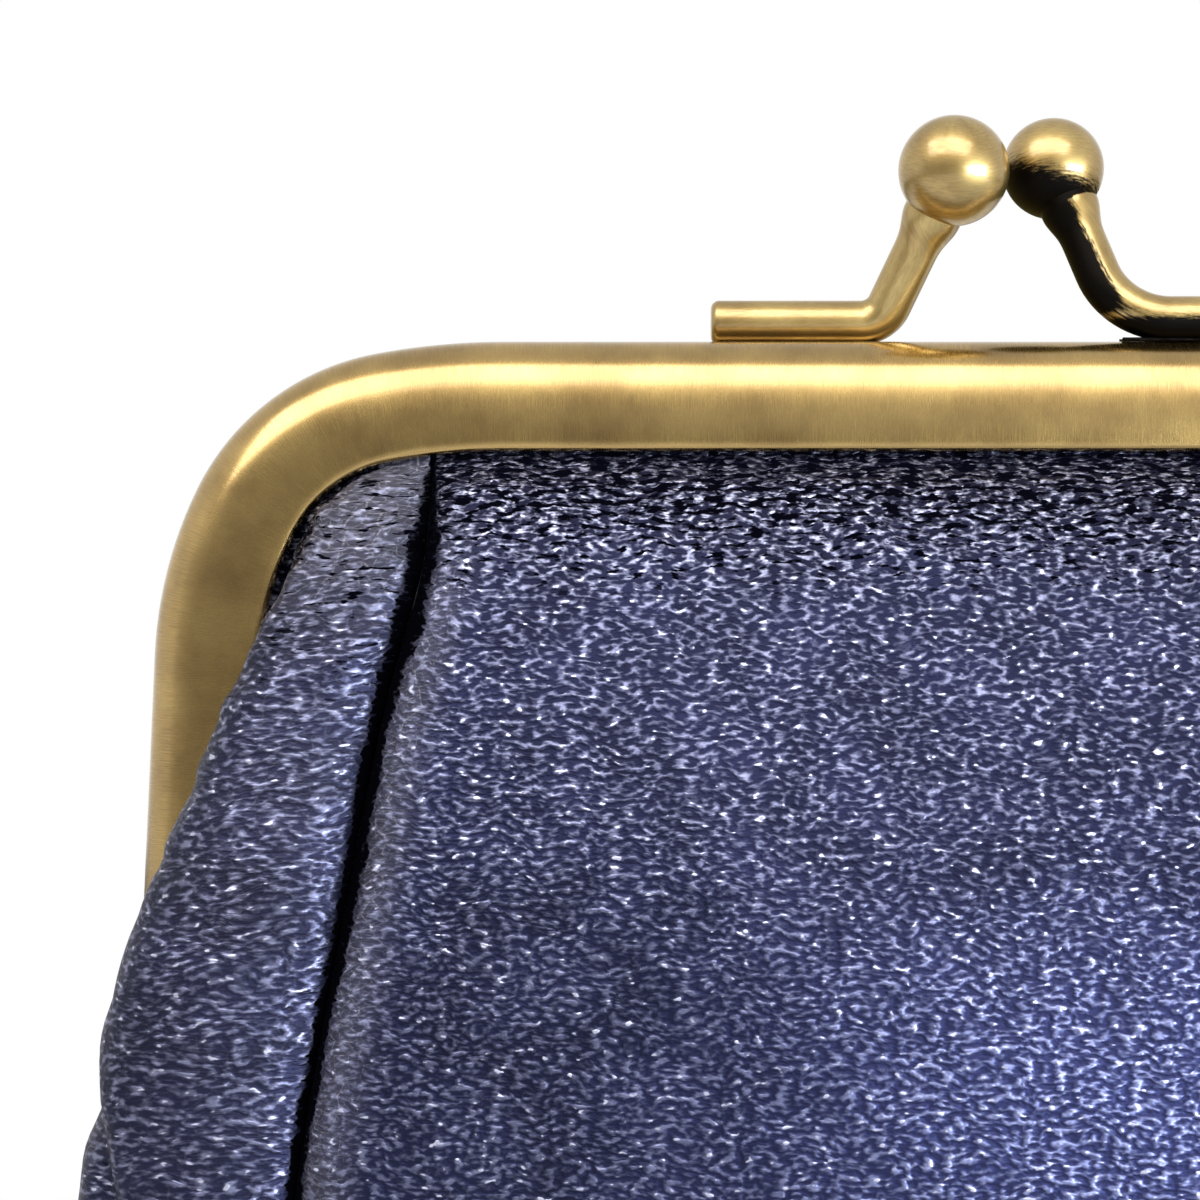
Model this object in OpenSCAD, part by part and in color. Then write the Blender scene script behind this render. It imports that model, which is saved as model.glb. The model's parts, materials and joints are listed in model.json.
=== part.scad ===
// Kiss lock frame purse: a leather pouch on a hinged metal frame that two crossing balls shut.
// Millimetres. X runs along the frame, -Y is the front and Z = 0 is what the purse stands on.
// Each frame half is a folded channel that grips the leather and lining with a paper cord.

/* [Frame] */
// Width across the lower ends of the legs
frame_w = 131.2; // [124:0.2:150]
// Height of the frame's top edge above the ground
frame_top = 104; // [98:1:120]
// Drop from the frame's top edge to the hinge axis
hinge_drop = 58.5; // [52:0.5:64]
// Height of the channel's front face
face_h = 8.5; // [7.5:0.1:9.5]
// Height of the channel's inner wall, where the two halves meet
back_h = 7; // [6:0.1:7.4]
// Depth of one half from front to back
half_depth = 6; // [5.6:0.1:7]
// Thickness of the sheet metal
sheet_t = 0.95; // [0.7:0.05:1.1]
// Gap between the closed halves
half_gap = 0.3; // [0.2:0.05:0.6]
// Radius of the long easing curve where the top bar starts to bend
ease_r = 53; // [40:1:70]
// Turn of the easing curve, in degrees
ease_turn = 10.7; // [8:0.1:14]
// Radius of the corner
corner_r = 18.8; // [15:0.2:24]
// Turn of the corner, in degrees
corner_turn = 53.4; // [48:0.2:58]
// Radius of the curve that leads into the leg
leg_ease_r = 31.8; // [26:0.2:40]
// Outward lean of the legs, in degrees
leg_flare = 2.5; // [0:0.1:4]
// Radius of the shoulder between the top and the front face
shoulder_r = 4.2; // [3:0.1:5]
// Radius of the gently crowned front face
crown_r = 16; // [12:1:40]
// Distance of the crown's high line from the outer edge
crown_line = 7; // [6:0.1:7.4]
// Radius of the edge between the top and the inner wall
back_edge_r = 1; // [0.6:0.1:1.2]

/* [Hinge] */
// Radius of the hinge tabs' round ends
tab_r = 4; // [3.4:0.1:4.6]
// Thickness of a hinge tab
tab_t = 1.2; // [0.8:0.1:1.4]
// Distance of the outer tabs from the frame's outer edge
tab_inset = 1.5; // [1.3:0.1:1.8]
// How far the channels stop above the hinge axis
channel_rise = 5.4; // [5.2:0.1:7]
// Height of the tab's stem inside the channel
tab_stem_h = 3; // [2:0.5:5]
// Width of the stem, front to back
tab_stem_w = 2.1; // [1.6:0.1:2.2]
// Diameter of the rivet's shank
rivet_d = 3; // [2:0.1:3.6]
// Running clearance between the rivet and the turning tab, on the radius
rivet_clear = 0.06; // [0.03:0.01:0.1]
// Diameter of the rivet's domed head
rivet_head_d = 5.6; // [4.6:0.1:6.6]
// Height of the domed head
rivet_head_h = 1.5; // [1:0.1:2]
// Diameter of the peened end inside
peen_d = 4.6; // [3.8:0.1:5.6]
// Height of the peened end
peen_h = 0.6; // [0.4:0.1:0.8]
// Thickness of the washer between the tabs
washer_t = 0.4; // [0.3:0.05:0.8]
// Diameter of the washer
washer_d = 6.8; // [5.4:0.1:7.6]
// Clearance on each side of the washer
washer_clear = 0.05; // [0.03:0.01:0.1]

/* [Clasp] */
// Diameter of the left ball, on the rear half
left_ball_d = 8.35; // [7:0.05:9]
// Diameter of the right ball, on the front half
right_ball_d = 7.75; // [7:0.05:9]
// Gap by which the balls pass each other
ball_pass = 0.1; // [0.06:0.02:0.4]
// Distance of each ball past the meeting line when the purse is shut
ball_cross = 2.5; // [1.5:0.1:3]
// Height of the left ball's centre, on the rear half, above the frame
left_ball_rise = 12.8; // [11:0.1:15]
// Height of the right ball's centre, on the front half, above the frame
right_ball_rise = 13.6; // [11:0.1:15]
// Diameter of the clasp wire
wire_d = 3.4; // [3:0.1:3.6]
// Thickness of the braze between the wire's foot and the frame
braze_t = 0.02; // [0.01:0.01:0.05]
// Distance of the foot's free end from the centre
foot_end = 22.2; // [19:0.1:26]
// Distance of the wire's knee from the centre, left
left_knee = 9.2; // [8:0.1:11]
// Distance of the wire's knee from the centre, right
right_knee = 8.6; // [8:0.1:11]
// Radius of the left wire's bend at its centre line
left_bend_r = 2.4; // [2:0.1:4]
// Radius of the right wire's bend at its centre line
right_bend_r = 5.6; // [3:0.1:6]
// Width of the neck where the wire spreads under the ball
neck_d = 4.7; // [4:0.1:5.4]
// Length of the spreading neck
neck_l = 3; // [2:0.1:3.4]
// Depth of the socket in the ball
socket_depth = 2.2; // [1.5:0.1:3]
// Bevel on the foot's free end
foot_bevel = 0.35; // [0.1:0.05:0.6]

/* [Pouch] */
// Depth of the pouch from front to back at its fullest
pouch_depth = 48; // [44:1:56]
// How far the sides swell past the frame
side_swell = 3.4; // [2:0.2:6]
// Thickness of the leather
leather_t = 1; // [0.8:0.1:1.2]
// Thickness of the lining cloth
lining_t = 0.5; // [0.3:0.1:0.6]
// Room between the leather's face and the lining
lining_inset = 4; // [3.8:0.1:5]
// How far the leather and lining reach up into the channel
tuck = 3.2; // [2.6:0.1:3.4]
// Slip between the leather's face and the channel's metal
slip = 0.15; // [0.1:0.05:0.2]
// Radius of the panel's edge where it rolls into the seam
seam_roll = 2.2; // [1.8:0.1:3]
// Gap between two pieces that are sewn together
seam_gap = 0.2; // [0.1:0.05:0.4]
// Diameter of the paper cord that packs the channel
cord_d = 2; // [1.8:0.1:2.1]
// Distance of the paper cord's centre from the frame's outer edge
cord_inset = 5; // [4.4:0.1:5.4]

/* [Base] */
// Radius of the base panel's round ends
base_r = 15.2; // [13:0.2:18]
// Half of the straight length between the round ends
base_half = 43; // [38:1:46]
// Thickness of the base leather
base_t = 1.2; // [1:0.1:1.6]
// Height of the base's turned-up edge
base_rim_h = 3.2; // [2.8:0.1:4]
// Height at which the walls start to turn under
turn_h = 7; // [6:0.5:10]
// Thickness of the stiffening board
board_t = 1.5; // [1:0.1:1.6]
// Clearance round the stiffening board
board_clear = 0.2; // [0.1:0.1:0.5]

/* [Hidden] */
$fn = 64;

brass = [0.66, 0.53, 0.29];
dark_brass = [0.42, 0.33, 0.19];
navy = [0.16, 0.18, 0.31];
lining_grey = [0.20, 0.20, 0.24];
paper_tan = [0.72, 0.62, 0.46];

hinge_z = frame_top - hinge_drop;
// How far a cutting tool reaches past what it cuts
past = 1;
mouth_y = half_gap / 2 + half_depth - sheet_t - slip;
lining_y = half_gap / 2 + sheet_t + slip + lining_t;
cord_y = (mouth_y - leather_t + lining_y) / 2;
leg_turn = 90 - leg_flare - ease_turn - corner_turn;

// The line of the frame, from the middle of the top bar down to the end of a leg.
// Each run is [length, radius, turn]: a straight has radius 0, a bend has length 0.
BENDS = [[0, ease_r, ease_turn], [0, corner_r, corner_turn], [0, leg_ease_r, leg_turn]];
function run_step(run, heading) = run[1] == 0
  ? run[0] * [cos(heading), -sin(heading)]
  : run[1] * [sin(heading + run[2]) - sin(heading), cos(heading + run[2]) - cos(heading)];
function heading_at(runs, i) = i == 0 ? 0 : heading_at(runs, i - 1) + runs[i - 1][2];
function start_at(runs, i) = i == 0
  ? [0, 0]
  : start_at(runs, i - 1) + run_step(runs[i - 1], heading_at(runs, i - 1));

bends_reach = start_at(BENDS, 3);
leg_l = (hinge_drop - channel_rise + bends_reach[1]) / cos(leg_flare);
top_half = frame_w / 2 - bends_reach[0] - leg_l * sin(leg_flare);
RUNS = concat([[top_half, 0, 0]], BENDS, [[leg_l, 0, 0]]);

// Point on the line at a heading inside bend i, inset from the outer edge: [x, drop].
function on_bend(i, heading, inset) =
  let (centre = start_at(RUNS, i) - RUNS[i][1] * [sin(heading_at(RUNS, i)), cos(heading_at(RUNS, i))])
  [centre[0] + (RUNS[i][1] - inset) * sin(heading), -centre[1] - (RUNS[i][1] - inset) * cos(heading)];
function bend_drop(i, inset) = on_bend(i, heading_at(RUNS, i), inset)[1];
// Heading of the bend where its inset line reaches a drop.
function bend_heading(i, inset, drop) =
  let (centre = start_at(RUNS, i) - RUNS[i][1] * [sin(heading_at(RUNS, i)), cos(heading_at(RUNS, i))])
  acos(max(-1, min(1, (-centre[1] - drop) / (RUNS[i][1] - inset))));
// Heading of the line where its inset line reaches a drop.
function heading_of_drop(inset, drop) =
  drop <= bend_drop(1, inset) ? 0
  : drop < bend_drop(2, inset) ? bend_heading(1, inset, drop)
  : drop < bend_drop(3, inset) ? bend_heading(2, inset, drop)
  : drop < on_bend(3, 90 - leg_flare, inset)[1] ? bend_heading(3, inset, drop)
  : 90 - leg_flare;
// Distance from the middle to the inset line at a drop.
function line_x(inset, drop) =
  drop <= bend_drop(1, inset) ? top_half
  : drop < bend_drop(2, inset) ? on_bend(1, bend_heading(1, inset, drop), inset)[0]
  : drop < bend_drop(3, inset) ? on_bend(2, bend_heading(2, inset, drop), inset)[0]
  : let (last = on_bend(3, 90 - leg_flare, inset))
    drop < last[1] ? on_bend(3, bend_heading(3, inset, drop), inset)[0]
    : last[0] + (drop - last[1]) * tan(leg_flare);
// Drop of the inset line at a distance from the middle, as far as the corner
function line_drop(inset, x) =
  let (i = x > on_bend(2, heading_at(RUNS, 2), inset)[0] ? 2 : 1, r = RUNS[i][1] - inset,
    centre = start_at(RUNS, i) - RUNS[i][1] * [sin(heading_at(RUNS, i)), cos(heading_at(RUNS, i))])
  x <= top_half ? inset : -centre[1] - sqrt(max(0, r * r - pow(x - centre[0], 2)));

// Stations along the whole line, from the left leg to the right: [x, height, heading].
BEND_STEPS = [0, 2, 8, 3, 0];
function arm_stations(leg_short) = concat(
  [for (i = [1 : 3]) for (k = [(i == 1 ? 0 : 1) : BEND_STEPS[i]])
    let (a = heading_at(RUNS, i) + RUNS[i][2] * k / BEND_STEPS[i], p = on_bend(i, a, 0))
    [p[0], frame_top - p[1], a]],
  let (a = 90 - leg_flare, p = start_at(RUNS, 4) + run_step([leg_l - leg_short, 0, 0], a))
  [[p[0], frame_top + p[1], a]]);
function line_stations(leg_short) =
  let (arm = arm_stations(leg_short))
  concat([for (i = [len(arm) - 1 : -1 : 0]) [-arm[i][0], arm[i][1], -arm[i][2]]], arm);
// A section of [minus inset, depth] points, stood square to the line at one station
function stood(section, s) =
  [for (p = section) [s[0] + p[0] * sin(s[2]), p[1], s[1] + p[0] * cos(s[2])]];
function ring(r, sides) = [for (i = [0 : sides - 1]) r * [cos(360 * i / sides), sin(360 * i / sides)]];
// A closed solid through a row of loops with equal numbers of points. Its ends are closed by
// triangles between the loop's two sides, which suits a round loop and a bent strip alike.
module loft(loops) {
  n = len(loops[0]);
  last = len(loops) - 1;
  half = n / 2 - 1;
  end = [for (i = [0 : half - 1]) each
    [[i, i + 1, n - 1 - i], [i + 1, n - 2 - i, n - 1 - i]]];
  polyhedron(points = [for (loop = loops) each loop], faces = concat(
    [for (t = end) [t[2], t[1], t[0]]],
    [for (k = [0 : last - 1]) for (i = [0 : n - 1]) let (j = (i + 1) % n) each
      [[k * n + i, k * n + j, k * n + n + j], [k * n + i, k * n + n + j, k * n + n + i]]],
    [for (t = end) [last * n + t[0], last * n + t[1], last * n + t[2]]]), convexity = 6);
}

// The channel's section
function arc(centre, r, from, to, steps) =
  [for (i = [0 : steps]) let (a = from + (to - from) * i / steps) centre + r * [cos(a), sin(a)]];
crown_centre = [-crown_line, half_depth - crown_r];
crown_meets = asin((crown_line - shoulder_r) / (crown_r - shoulder_r));
shoulder_centre = crown_centre
  + (crown_r - shoulder_r) * [sin(crown_meets), cos(crown_meets)];
crown_end = asin((face_h - crown_line) / crown_r);
// One skin of the folded sheet, inset from the outer face, in a number of steps for each arc
function channel_skin(inset, steps) = concat(
  arc(crown_centre, crown_r - inset, 90 + crown_end, 90 - crown_meets, steps[0]),
  arc(shoulder_centre, shoulder_r - inset, 90 - crown_meets, 0, steps[1]),
  arc([-back_edge_r, back_edge_r], max(0.05, back_edge_r - inset), 0, -90, steps[2]));
function reversed(list) = [for (i = [len(list) - 1 : -1 : 0]) list[i]];
SKIN_STEPS = [3, 4, 2];
channel_section = [for (p = concat([[-back_h, 0]], reversed(channel_skin(0, SKIN_STEPS)),
  channel_skin(sheet_t, SKIN_STEPS), [[-back_h, sheet_t]]))
  [p[0], p[1] + half_gap / 2]];

// One frame half in the rear's place
module frame_half() {
  color(brass) loft([for (s = line_stations(0)) stood(channel_section, s)]);
}
module front_frame() { mirror([0, 1, 0]) frame_half(); }
module rear_frame() { frame_half(); }

// The hinge tabs: flat plates brazed against the inner wall in the ends of the channels.
// The front half's tabs lie outside the rear half's, with a washer between them.
// The straight neck hangs a little out of the channel before the tab rounds into its eye.
tab_neck = 0.8;
module hinge_tab(inner, bore_d) {
  stem_y = half_gap / 2 + sheet_t;
  shift = inner ? tab_t + washer_t + 2 * washer_clear : 0;
  color(dark_brass)
    translate([frame_w / 2 - tab_inset - tab_t - shift, 0, hinge_z]) rotate([90, 0, 90])
      difference() {
        linear_extrude(tab_t) polygon(concat(
          [[stem_y, channel_rise - tab_neck], [stem_y, channel_rise + tab_stem_h],
           [stem_y + tab_stem_w, channel_rise + tab_stem_h],
           [stem_y + tab_stem_w, channel_rise - tab_neck]],
          arc([0, 0], tab_r, 20, -230, 20)));
        translate([0, 0, -past]) cylinder(d = bore_d, h = tab_t + 2 * past);
      }
}
module front_right_hinge_tab() {
  mirror([0, 1, 0]) hinge_tab(false, rivet_d + 2 * rivet_clear);
}
module front_left_hinge_tab() { mirror([1, 0, 0]) front_right_hinge_tab(); }
module rear_right_hinge_tab() { hinge_tab(true, rivet_d); }
module rear_left_hinge_tab() { mirror([1, 0, 0]) rear_right_hinge_tab(); }

// The hinge pins: a domed rivet that is fast in the rear tab, and a washer between the tabs
module hinge_rivet() {
  grip = 2 * tab_t + washer_t + 3 * washer_clear;
  dome_r = (pow(rivet_head_d / 2, 2) + pow(rivet_head_h, 2)) / (2 * rivet_head_h);
  translate([frame_w / 2 - tab_inset + washer_clear, 0, hinge_z]) rotate([0, 90, 0])
    rotate_extrude() {
      intersection() {
        translate([0, rivet_head_h - dome_r]) circle(dome_r);
        square([rivet_head_d / 2, rivet_head_h]);
      }
      translate([0, -grip]) square([rivet_d / 2, grip]);
      translate([0, -grip - peen_h]) square([peen_d / 2, peen_h]);
    }
}
module hinge_washer() {
  translate([frame_w / 2 - tab_inset - tab_t - washer_clear - washer_t, 0, hinge_z])
    rotate([0, 90, 0]) difference() {
      cylinder(d = washer_d, h = washer_t);
      translate([0, 0, -past])
        cylinder(d = rivet_d + 2 * rivet_clear, h = washer_t + 2 * past);
    }
}
module left_hinge_rivet() { color(dark_brass) mirror([1, 0, 0]) hinge_rivet(); }
module right_hinge_rivet() { color(dark_brass) hinge_rivet(); }
module left_hinge_washer() { color(dark_brass) mirror([1, 0, 0]) hinge_washer(); }
module right_hinge_washer() { color(dark_brass) hinge_washer(); }

// The clasp: each wire lies along the frame, bends up and leans across the meeting line.
foot_set_in = 0.05;
foot_y = half_gap / 2 + wire_d / 2 + foot_set_in;
foot_z = frame_top + wire_d / 2 + braze_t;
ball_x = (left_ball_d + right_ball_d) / 4 + ball_pass / 2;
// How far the neck reaches into the ball, and the step down to the wire in the socket
neck_bite = 0.3;
neck_step = 0.01;
// The leaning plane of a bent wire: its tilt, its reach up to the ball and the stem's lean
function wire_climb(rise) = norm([frame_top + rise - foot_z, foot_y + ball_cross]);
function wire_tilt(rise) = atan((foot_y + ball_cross) / (frame_top + rise - foot_z));
function stem_lean(rise, knee) = atan((knee - ball_x) / wire_climb(rise));
function stem_length(rise, knee) = norm([knee - ball_x, wire_climb(rise)]);
module in_wire_plane(rise) {
  translate([0, foot_y, foot_z]) rotate([wire_tilt(rise), 0, 0]) children();
}
// The bent wire in the rear's place, on the right; rise is the ball's height above the frame
// and d the ball's diameter.
// Its stations are [x, height, heading, radius], from the foot's free end to the socket.
WIRE_SIDES = 16;
BEND_PARTS = 7;
module clasp_wire(rise, knee, bend_r, d) {
  lean = stem_lean(rise, knee);
  turn = 90 - lean;
  cut = bend_r * tan(turn / 2);
  up = [-sin(lean), cos(lean)];
  neck_top = stem_length(rise, knee) - d / 2 + neck_bite;
  r = wire_d / 2;
  function on_stem(l, radius) = [knee + l * up[0], l * up[1], 180 + turn, radius];
  stations = concat(
    [[foot_end, 0, 180, r - foot_bevel], [foot_end - foot_bevel, 0, 180, r]],
    [for (k = [0 : BEND_PARTS]) let (a = turn * k / BEND_PARTS)
      [knee + cut - bend_r * sin(a), bend_r * (1 - cos(a)), 180 + a, r]],
    [for (u = [0, 0.5, 0.8, 1]) on_stem(neck_top - (1 - u) * neck_l, mix(r, neck_d / 2, u * u))],
    [on_stem(neck_top + neck_step, r), on_stem(neck_top - neck_bite + socket_depth, r)]);
  in_wire_plane(rise) loft([for (s = stations) stood(ring(s[3], WIRE_SIDES), s)]);
}
// The ball, with the socket in which the stem is brazed
module clasp_ball(rise, knee, d) {
  l = stem_length(rise, knee);
  in_wire_plane(rise)
    translate([knee, 0, 0]) rotate([0, -stem_lean(rise, knee), 0]) difference() {
      translate([0, 0, l]) sphere(d = d);
      translate([0, 0, l - d]) cylinder(d = wire_d, h = d / 2 + socket_depth);
      translate([0, 0, l - d]) cylinder(d = neck_d, h = d / 2 + neck_bite);
    }
}
module rear_clasp_wire() {
  color(brass) mirror([1, 0, 0])
    clasp_wire(left_ball_rise, left_knee, left_bend_r, left_ball_d);
}
module front_clasp_wire() {
  color(brass) mirror([0, 1, 0])
    clasp_wire(right_ball_rise, right_knee, right_bend_r, right_ball_d);
}
module rear_clasp_ball() {
  color(brass) mirror([1, 0, 0]) clasp_ball(left_ball_rise, left_knee, left_ball_d);
}
module front_clasp_ball() {
  color(brass) mirror([0, 1, 0]) clasp_ball(right_ball_rise, right_knee, right_ball_d);
}

// The paper cord that packs each channel over the tucked edges, short of the tabs' stems
cord_clear = 0.5;
module paper_cord() {
  section = [for (p = ring(cord_d / 2, 8)) p + [-cord_inset, cord_y]];
  color(paper_tan)
    loft([for (s = line_stations(tab_stem_h + cord_clear)) stood(section, s)]);
}
module rear_paper_cord() { paper_cord(); }
module front_paper_cord() { mirror([0, 1, 0]) paper_cord(); }

// The pouch's lines, from the frame's mouth (0) to where the walls turn under (1). Columns:
// station, depth share, crown fall, crease depth, seam inset, side offset, side's depth share
LINES = [
  [0.00, 0.00, 0.0, 0.3, 22.3, -23.8, 1.00],
  [0.03, 0.17, 0.3, 2.2, 22.4, -19.2, 0.84],
  [0.10, 0.37, 0.8, 3.1, 21.8, -15.9, 0.75],
  [0.22, 0.60, 1.6, 3.1, 19.2, -10.8, 0.65],
  [0.41, 0.84, 2.4, 2.5, 16.1, -4.1, 0.58],
  [0.62, 0.97, 3.0, 2.0, 13.2, -0.6, 0.54],
  [0.82, 1.00, 3.0, 1.6, 12.1, -0.1, 0.53],
  [1.00, 0.79, 2.4, 1.2, 14.9, -4.8, 0.56]];
// Smooth curve through one column of the lines
function slope(i, c) =
  let (a = max(0, i - 1), b = min(len(LINES) - 1, i + 1))
  (LINES[b][c] - LINES[a][c]) / (LINES[b][0] - LINES[a][0]);
function line_span(t) = max([for (i = [0 : len(LINES) - 2]) if (i == 0 || LINES[i][0] <= t) i]);
function on_lines(c, t) =
  let (i = line_span(t), w = LINES[i + 1][0] - LINES[i][0], u = (t - LINES[i][0]) / w)
  LINES[i][c] * (1 + 2 * u) * (1 - u) * (1 - u) + LINES[i + 1][c] * u * u * (3 - 2 * u)
  + w * u * (1 - u) * (slope(i, c) * (1 - u) - slope(i + 1, c) * u);
function ease(u) = let (c = max(0, min(1, u))) c * c * (3 - 2 * c);
function mix(a, b, u) = a + (b - a) * u;

mouth_clear = 0.1;
mouth_drop = face_h + mouth_clear;
// Height over which the rows level out below the mouth's bends
sag_fade = 8;
turn_drop = frame_top - turn_h;
channel_end = hinge_drop - channel_rise;
// Room between the hinge tab and the top of the side seam
seam_below_tab = 3.5;
side_seam_top = hinge_drop + tab_r + seam_below_tab;
function station(drop) = (drop - mouth_drop) / (turn_drop - mouth_drop);
function wall_depth(drop) = mix(mouth_y, pouch_depth / 2, on_lines(1, station(drop)));
function seam_x(drop) = frame_w / 2 - on_lines(4, station(drop));
function side_x(drop) = frame_w / 2 + side_swell + on_lines(5, station(drop));
function crease(drop) = on_lines(3, station(drop));
// Depth of the panel's face at a share of the way to the seam
function panel_depth(drop, share) = wall_depth(drop) - on_lines(2, station(drop)) * share * share;

// Half a horizontal row of the front panel, from the middle to the crease: [x, y] points
FACE_SHARES = [0, 0.22, 0.44, 0.66, 0.85];
ROLL_TURNS = [0, 32, 62, 90];
function panel_row(drop) =
  let (end = seam_x(drop) - seam_gap / 2, flat = end - seam_roll)
  concat(
    [for (s = FACE_SHARES) [flat * s, -panel_depth(drop, s * flat / end)]],
    [for (a = ROLL_TURNS)
      [flat + seam_roll * sin(a), -panel_depth(drop, flat / end) + crease(drop) * (1 - cos(a))]]);

// How far a point of the mouth sits below the middle of the top bar, fading down the pouch
function mouth_sag(drop, x) =
  (line_drop(face_h, x) - face_h) * max(0, 1 - (drop - mouth_drop) / sag_fade);
function lifted(p, drop) = [p[0], p[1], frame_top - drop - mouth_sag(drop, p[0])];
function panel_points(drop) = [for (p = panel_row(drop)) lifted(p, drop)];

// Share of the way from the end of the channel to the top of the side seam
function side_hang(drop) = ease((drop - channel_end) / (side_seam_top - channel_end));
// The valley between the front and rear side pieces: its depth at the seam's top and foot
VALLEY = [6.5, 1.2];
function valley_x(drop) = side_x(drop)
  - mix(VALLEY[0], VALLEY[1], ease((drop - side_seam_top) / (turn_drop - side_seam_top)));
// The end of a row as lip, foot and end of the tuck, points [x, y, z]. Beside the channel it
// is tucked in; below the hinge it is turned in at the side seam, by [inward, forward].
SEAM_TURN = [[0, 0.9], [0.8, 0.1], [2.5, 0]];
lip_forward = 0.5;
foot_clear = 0.15;
function row_end(drop, face_y, lip_in, seam_in) =
  let (hang = side_hang(drop), x = line_x(face_h, drop), a = heading_of_drop(face_h, drop),
    v = valley_x(max(drop, side_seam_top)) - seam_in, z = frame_top - drop,
    gripped = [[x - lip_in, -face_y - lip_forward, z], [x - foot_clear, -face_y, z],
      [x + tuck * sin(a), -face_y, z + tuck * cos(a)]])
  [for (i = [0 : 2])
    mix(gripped[i], [v - SEAM_TURN[i][0], -seam_gap / 2 - SEAM_TURN[i][1], z], hang)];
TURNS = [30, 60, 90];
// Cubic curve
function bezier(a, b, c, d, u) =
  a * pow(1 - u, 3) + 3 * b * u * pow(1 - u, 2) + 3 * c * u * u * (1 - u) + d * pow(u, 3);

// A row of a side piece, from the crease round the roll to the channel. The roll rises from
// the crease to its top, falls to its crest and comes back to the lip.
ROLL_RISE = [0, 30, 60];
ROLL_FALL = [0, 30, 58];
roll_top = 0.4;
roll_back = 1.8;
side_lip_in = 0.9;
function side_points(drop) =
  let (root = seam_x(drop) + seam_gap / 2,
    drop_here = drop + mouth_sag(drop, root), z = frame_top - drop_here,
    crest = [side_x(drop), -wall_depth(drop) * on_lines(6, station(drop)), z],
    top = [mix(root, crest[0], roll_top), -panel_depth(drop, 1), z],
    end = row_end(drop_here, mouth_y, side_lip_in, 0), lip = end[0], back = lip[1] - roll_back)
  concat(
    [for (a = ROLL_RISE)
      [mix(root, top[0], 1 - cos(a)), top[1] + crease(drop) * (1 - sin(a)), z]],
    [for (a = ROLL_FALL)
      [mix(top[0], crest[0], sin(a)), mix(top[1], crest[1], 1 - cos(a)), z]],
    [for (u = [0, 0.25, 0.5, 0.75]) bezier(crest, [crest[0], mix(crest[1], back, 0.7), z],
      [lip[0], back, z], lip, u)],
    end);

// Half a row of the lining, from the middle to the channel. Its corner turns short of the
// panel's seam and of its own crest, and its side seam reaches a little past the crest's inset.
lining_lip_in = 0.6;
lining_edge = 2.6;
lining_seam_out = 0.4;
lining_off_seam = 2;
lining_corner = 3;
lining_fall = 0.5;
function lining_depth(drop, share) =
  mix(lining_y, pouch_depth / 2 - lining_inset, on_lines(1, station(drop)))
  - on_lines(2, station(drop)) * share * share;
function lining_points(drop) =
  let (z = frame_top - drop, hang = side_hang(drop), depth = lining_depth(drop, 1),
    crest_x = mix(line_x(face_h, drop) - lining_edge, side_x(drop) - lining_inset, hang),
    flat = min(seam_x(drop) - lining_off_seam, crest_x - lining_corner),
    end = row_end(drop, lining_y, lining_lip_in, lining_inset - lining_seam_out))
  concat(
    [for (s = [0, 0.35, 0.7, 1]) [flat * s, -lining_depth(drop, s), z]],
    [for (a = TURNS) [mix(flat, crest_x, sin(a)), -depth * mix(lining_fall, 1, cos(a)), z]],
    end);

// The outline of the base, grown by an offset, for the points of a row from the middle out
function base_outline(row, from, grow, sweep = 90) =
  let (last = len(row) - 1)
  [for (i = [0 : last])
    let (a = sweep * max(0, i - from) / (last - from))
    i <= from
      ? [base_half * (from == 0 ? 1 : row[i][0] / row[from][0]), -base_r - grow]
      : [base_half + (base_r + grow) * sin(a), min(-seam_gap / 2, -(base_r + grow) * cos(a))]];
// Rows that turn the wall under from its last level row to the outline at a height
function turned_under(row, from, grow, low, sweep = 90) =
  let (line = base_outline(row, from, grow, sweep))
  [for (a = TURNS) [for (i = [0 : len(row) - 1])
    [mix(line[i][0], row[i][0], cos(a)), mix(line[i][1], row[i][1], cos(a)),
     mix(row[i][2], low, sin(a))]]];
function level_rows(row, from, steps) =
  [for (s = steps) let (line = base_outline(row, from, s[0]))
    [for (i = [0 : len(row) - 1]) [line[i][0], line[i][1], s[1]]]];

// Levels of the rows between the mouth and the turn
LEVELS = [for (t = [0, 0.011, 0.03, 0.06, 0.10, 0.15, 0.22, 0.31, 0.41, 0.51, 0.62, 0.72, 0.82, 0.91, 1])
  mix(mouth_drop, turn_drop, t)];
// Rim steps of the turned-in lower edge: [offset from the base, height]
RIM = [[0.6, 0.9], [slip, 1.9], [slip, base_rim_h - 0.1]];
// Where the wall comes round under the pouch: its height and its reach past the base
under_low = 0.35;
under_grow = 1.9;

// The row tucked up in the channel over a row at the mouth, at a depth
least_tuck = 0.3;
function tucked_up(row, depth) =
  [for (p = row)
    [p[0], -depth, max(p[2] + least_tuck, frame_top - line_drop(face_h - tuck, p[0]))]];
// The row of a side piece along the frame's mouth, a least step above its first row
mouth_step = 0.05;
function mouth_row(row) =
  [for (p = row) [p[0], -mouth_y,
    max(p[2] + mouth_step, frame_top - line_drop(face_h, p[0]) - mouth_clear)]];
// A whole pouch wall: the tucked row, the level rows, the turn and the turned-in edge
function wall_rows(rows, from) =
  let (foot = rows[len(rows) - 1])
  concat([tucked_up(rows[0], mouth_y)], rows, turned_under(foot, from, under_grow, under_low),
    level_rows(foot, from, RIM));
function mirrored_row(half) = concat(
  [for (i = [len(half) - 1 : -1 : 1]) [-half[i][0], half[i][1], half[i][2]]], half);

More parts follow.
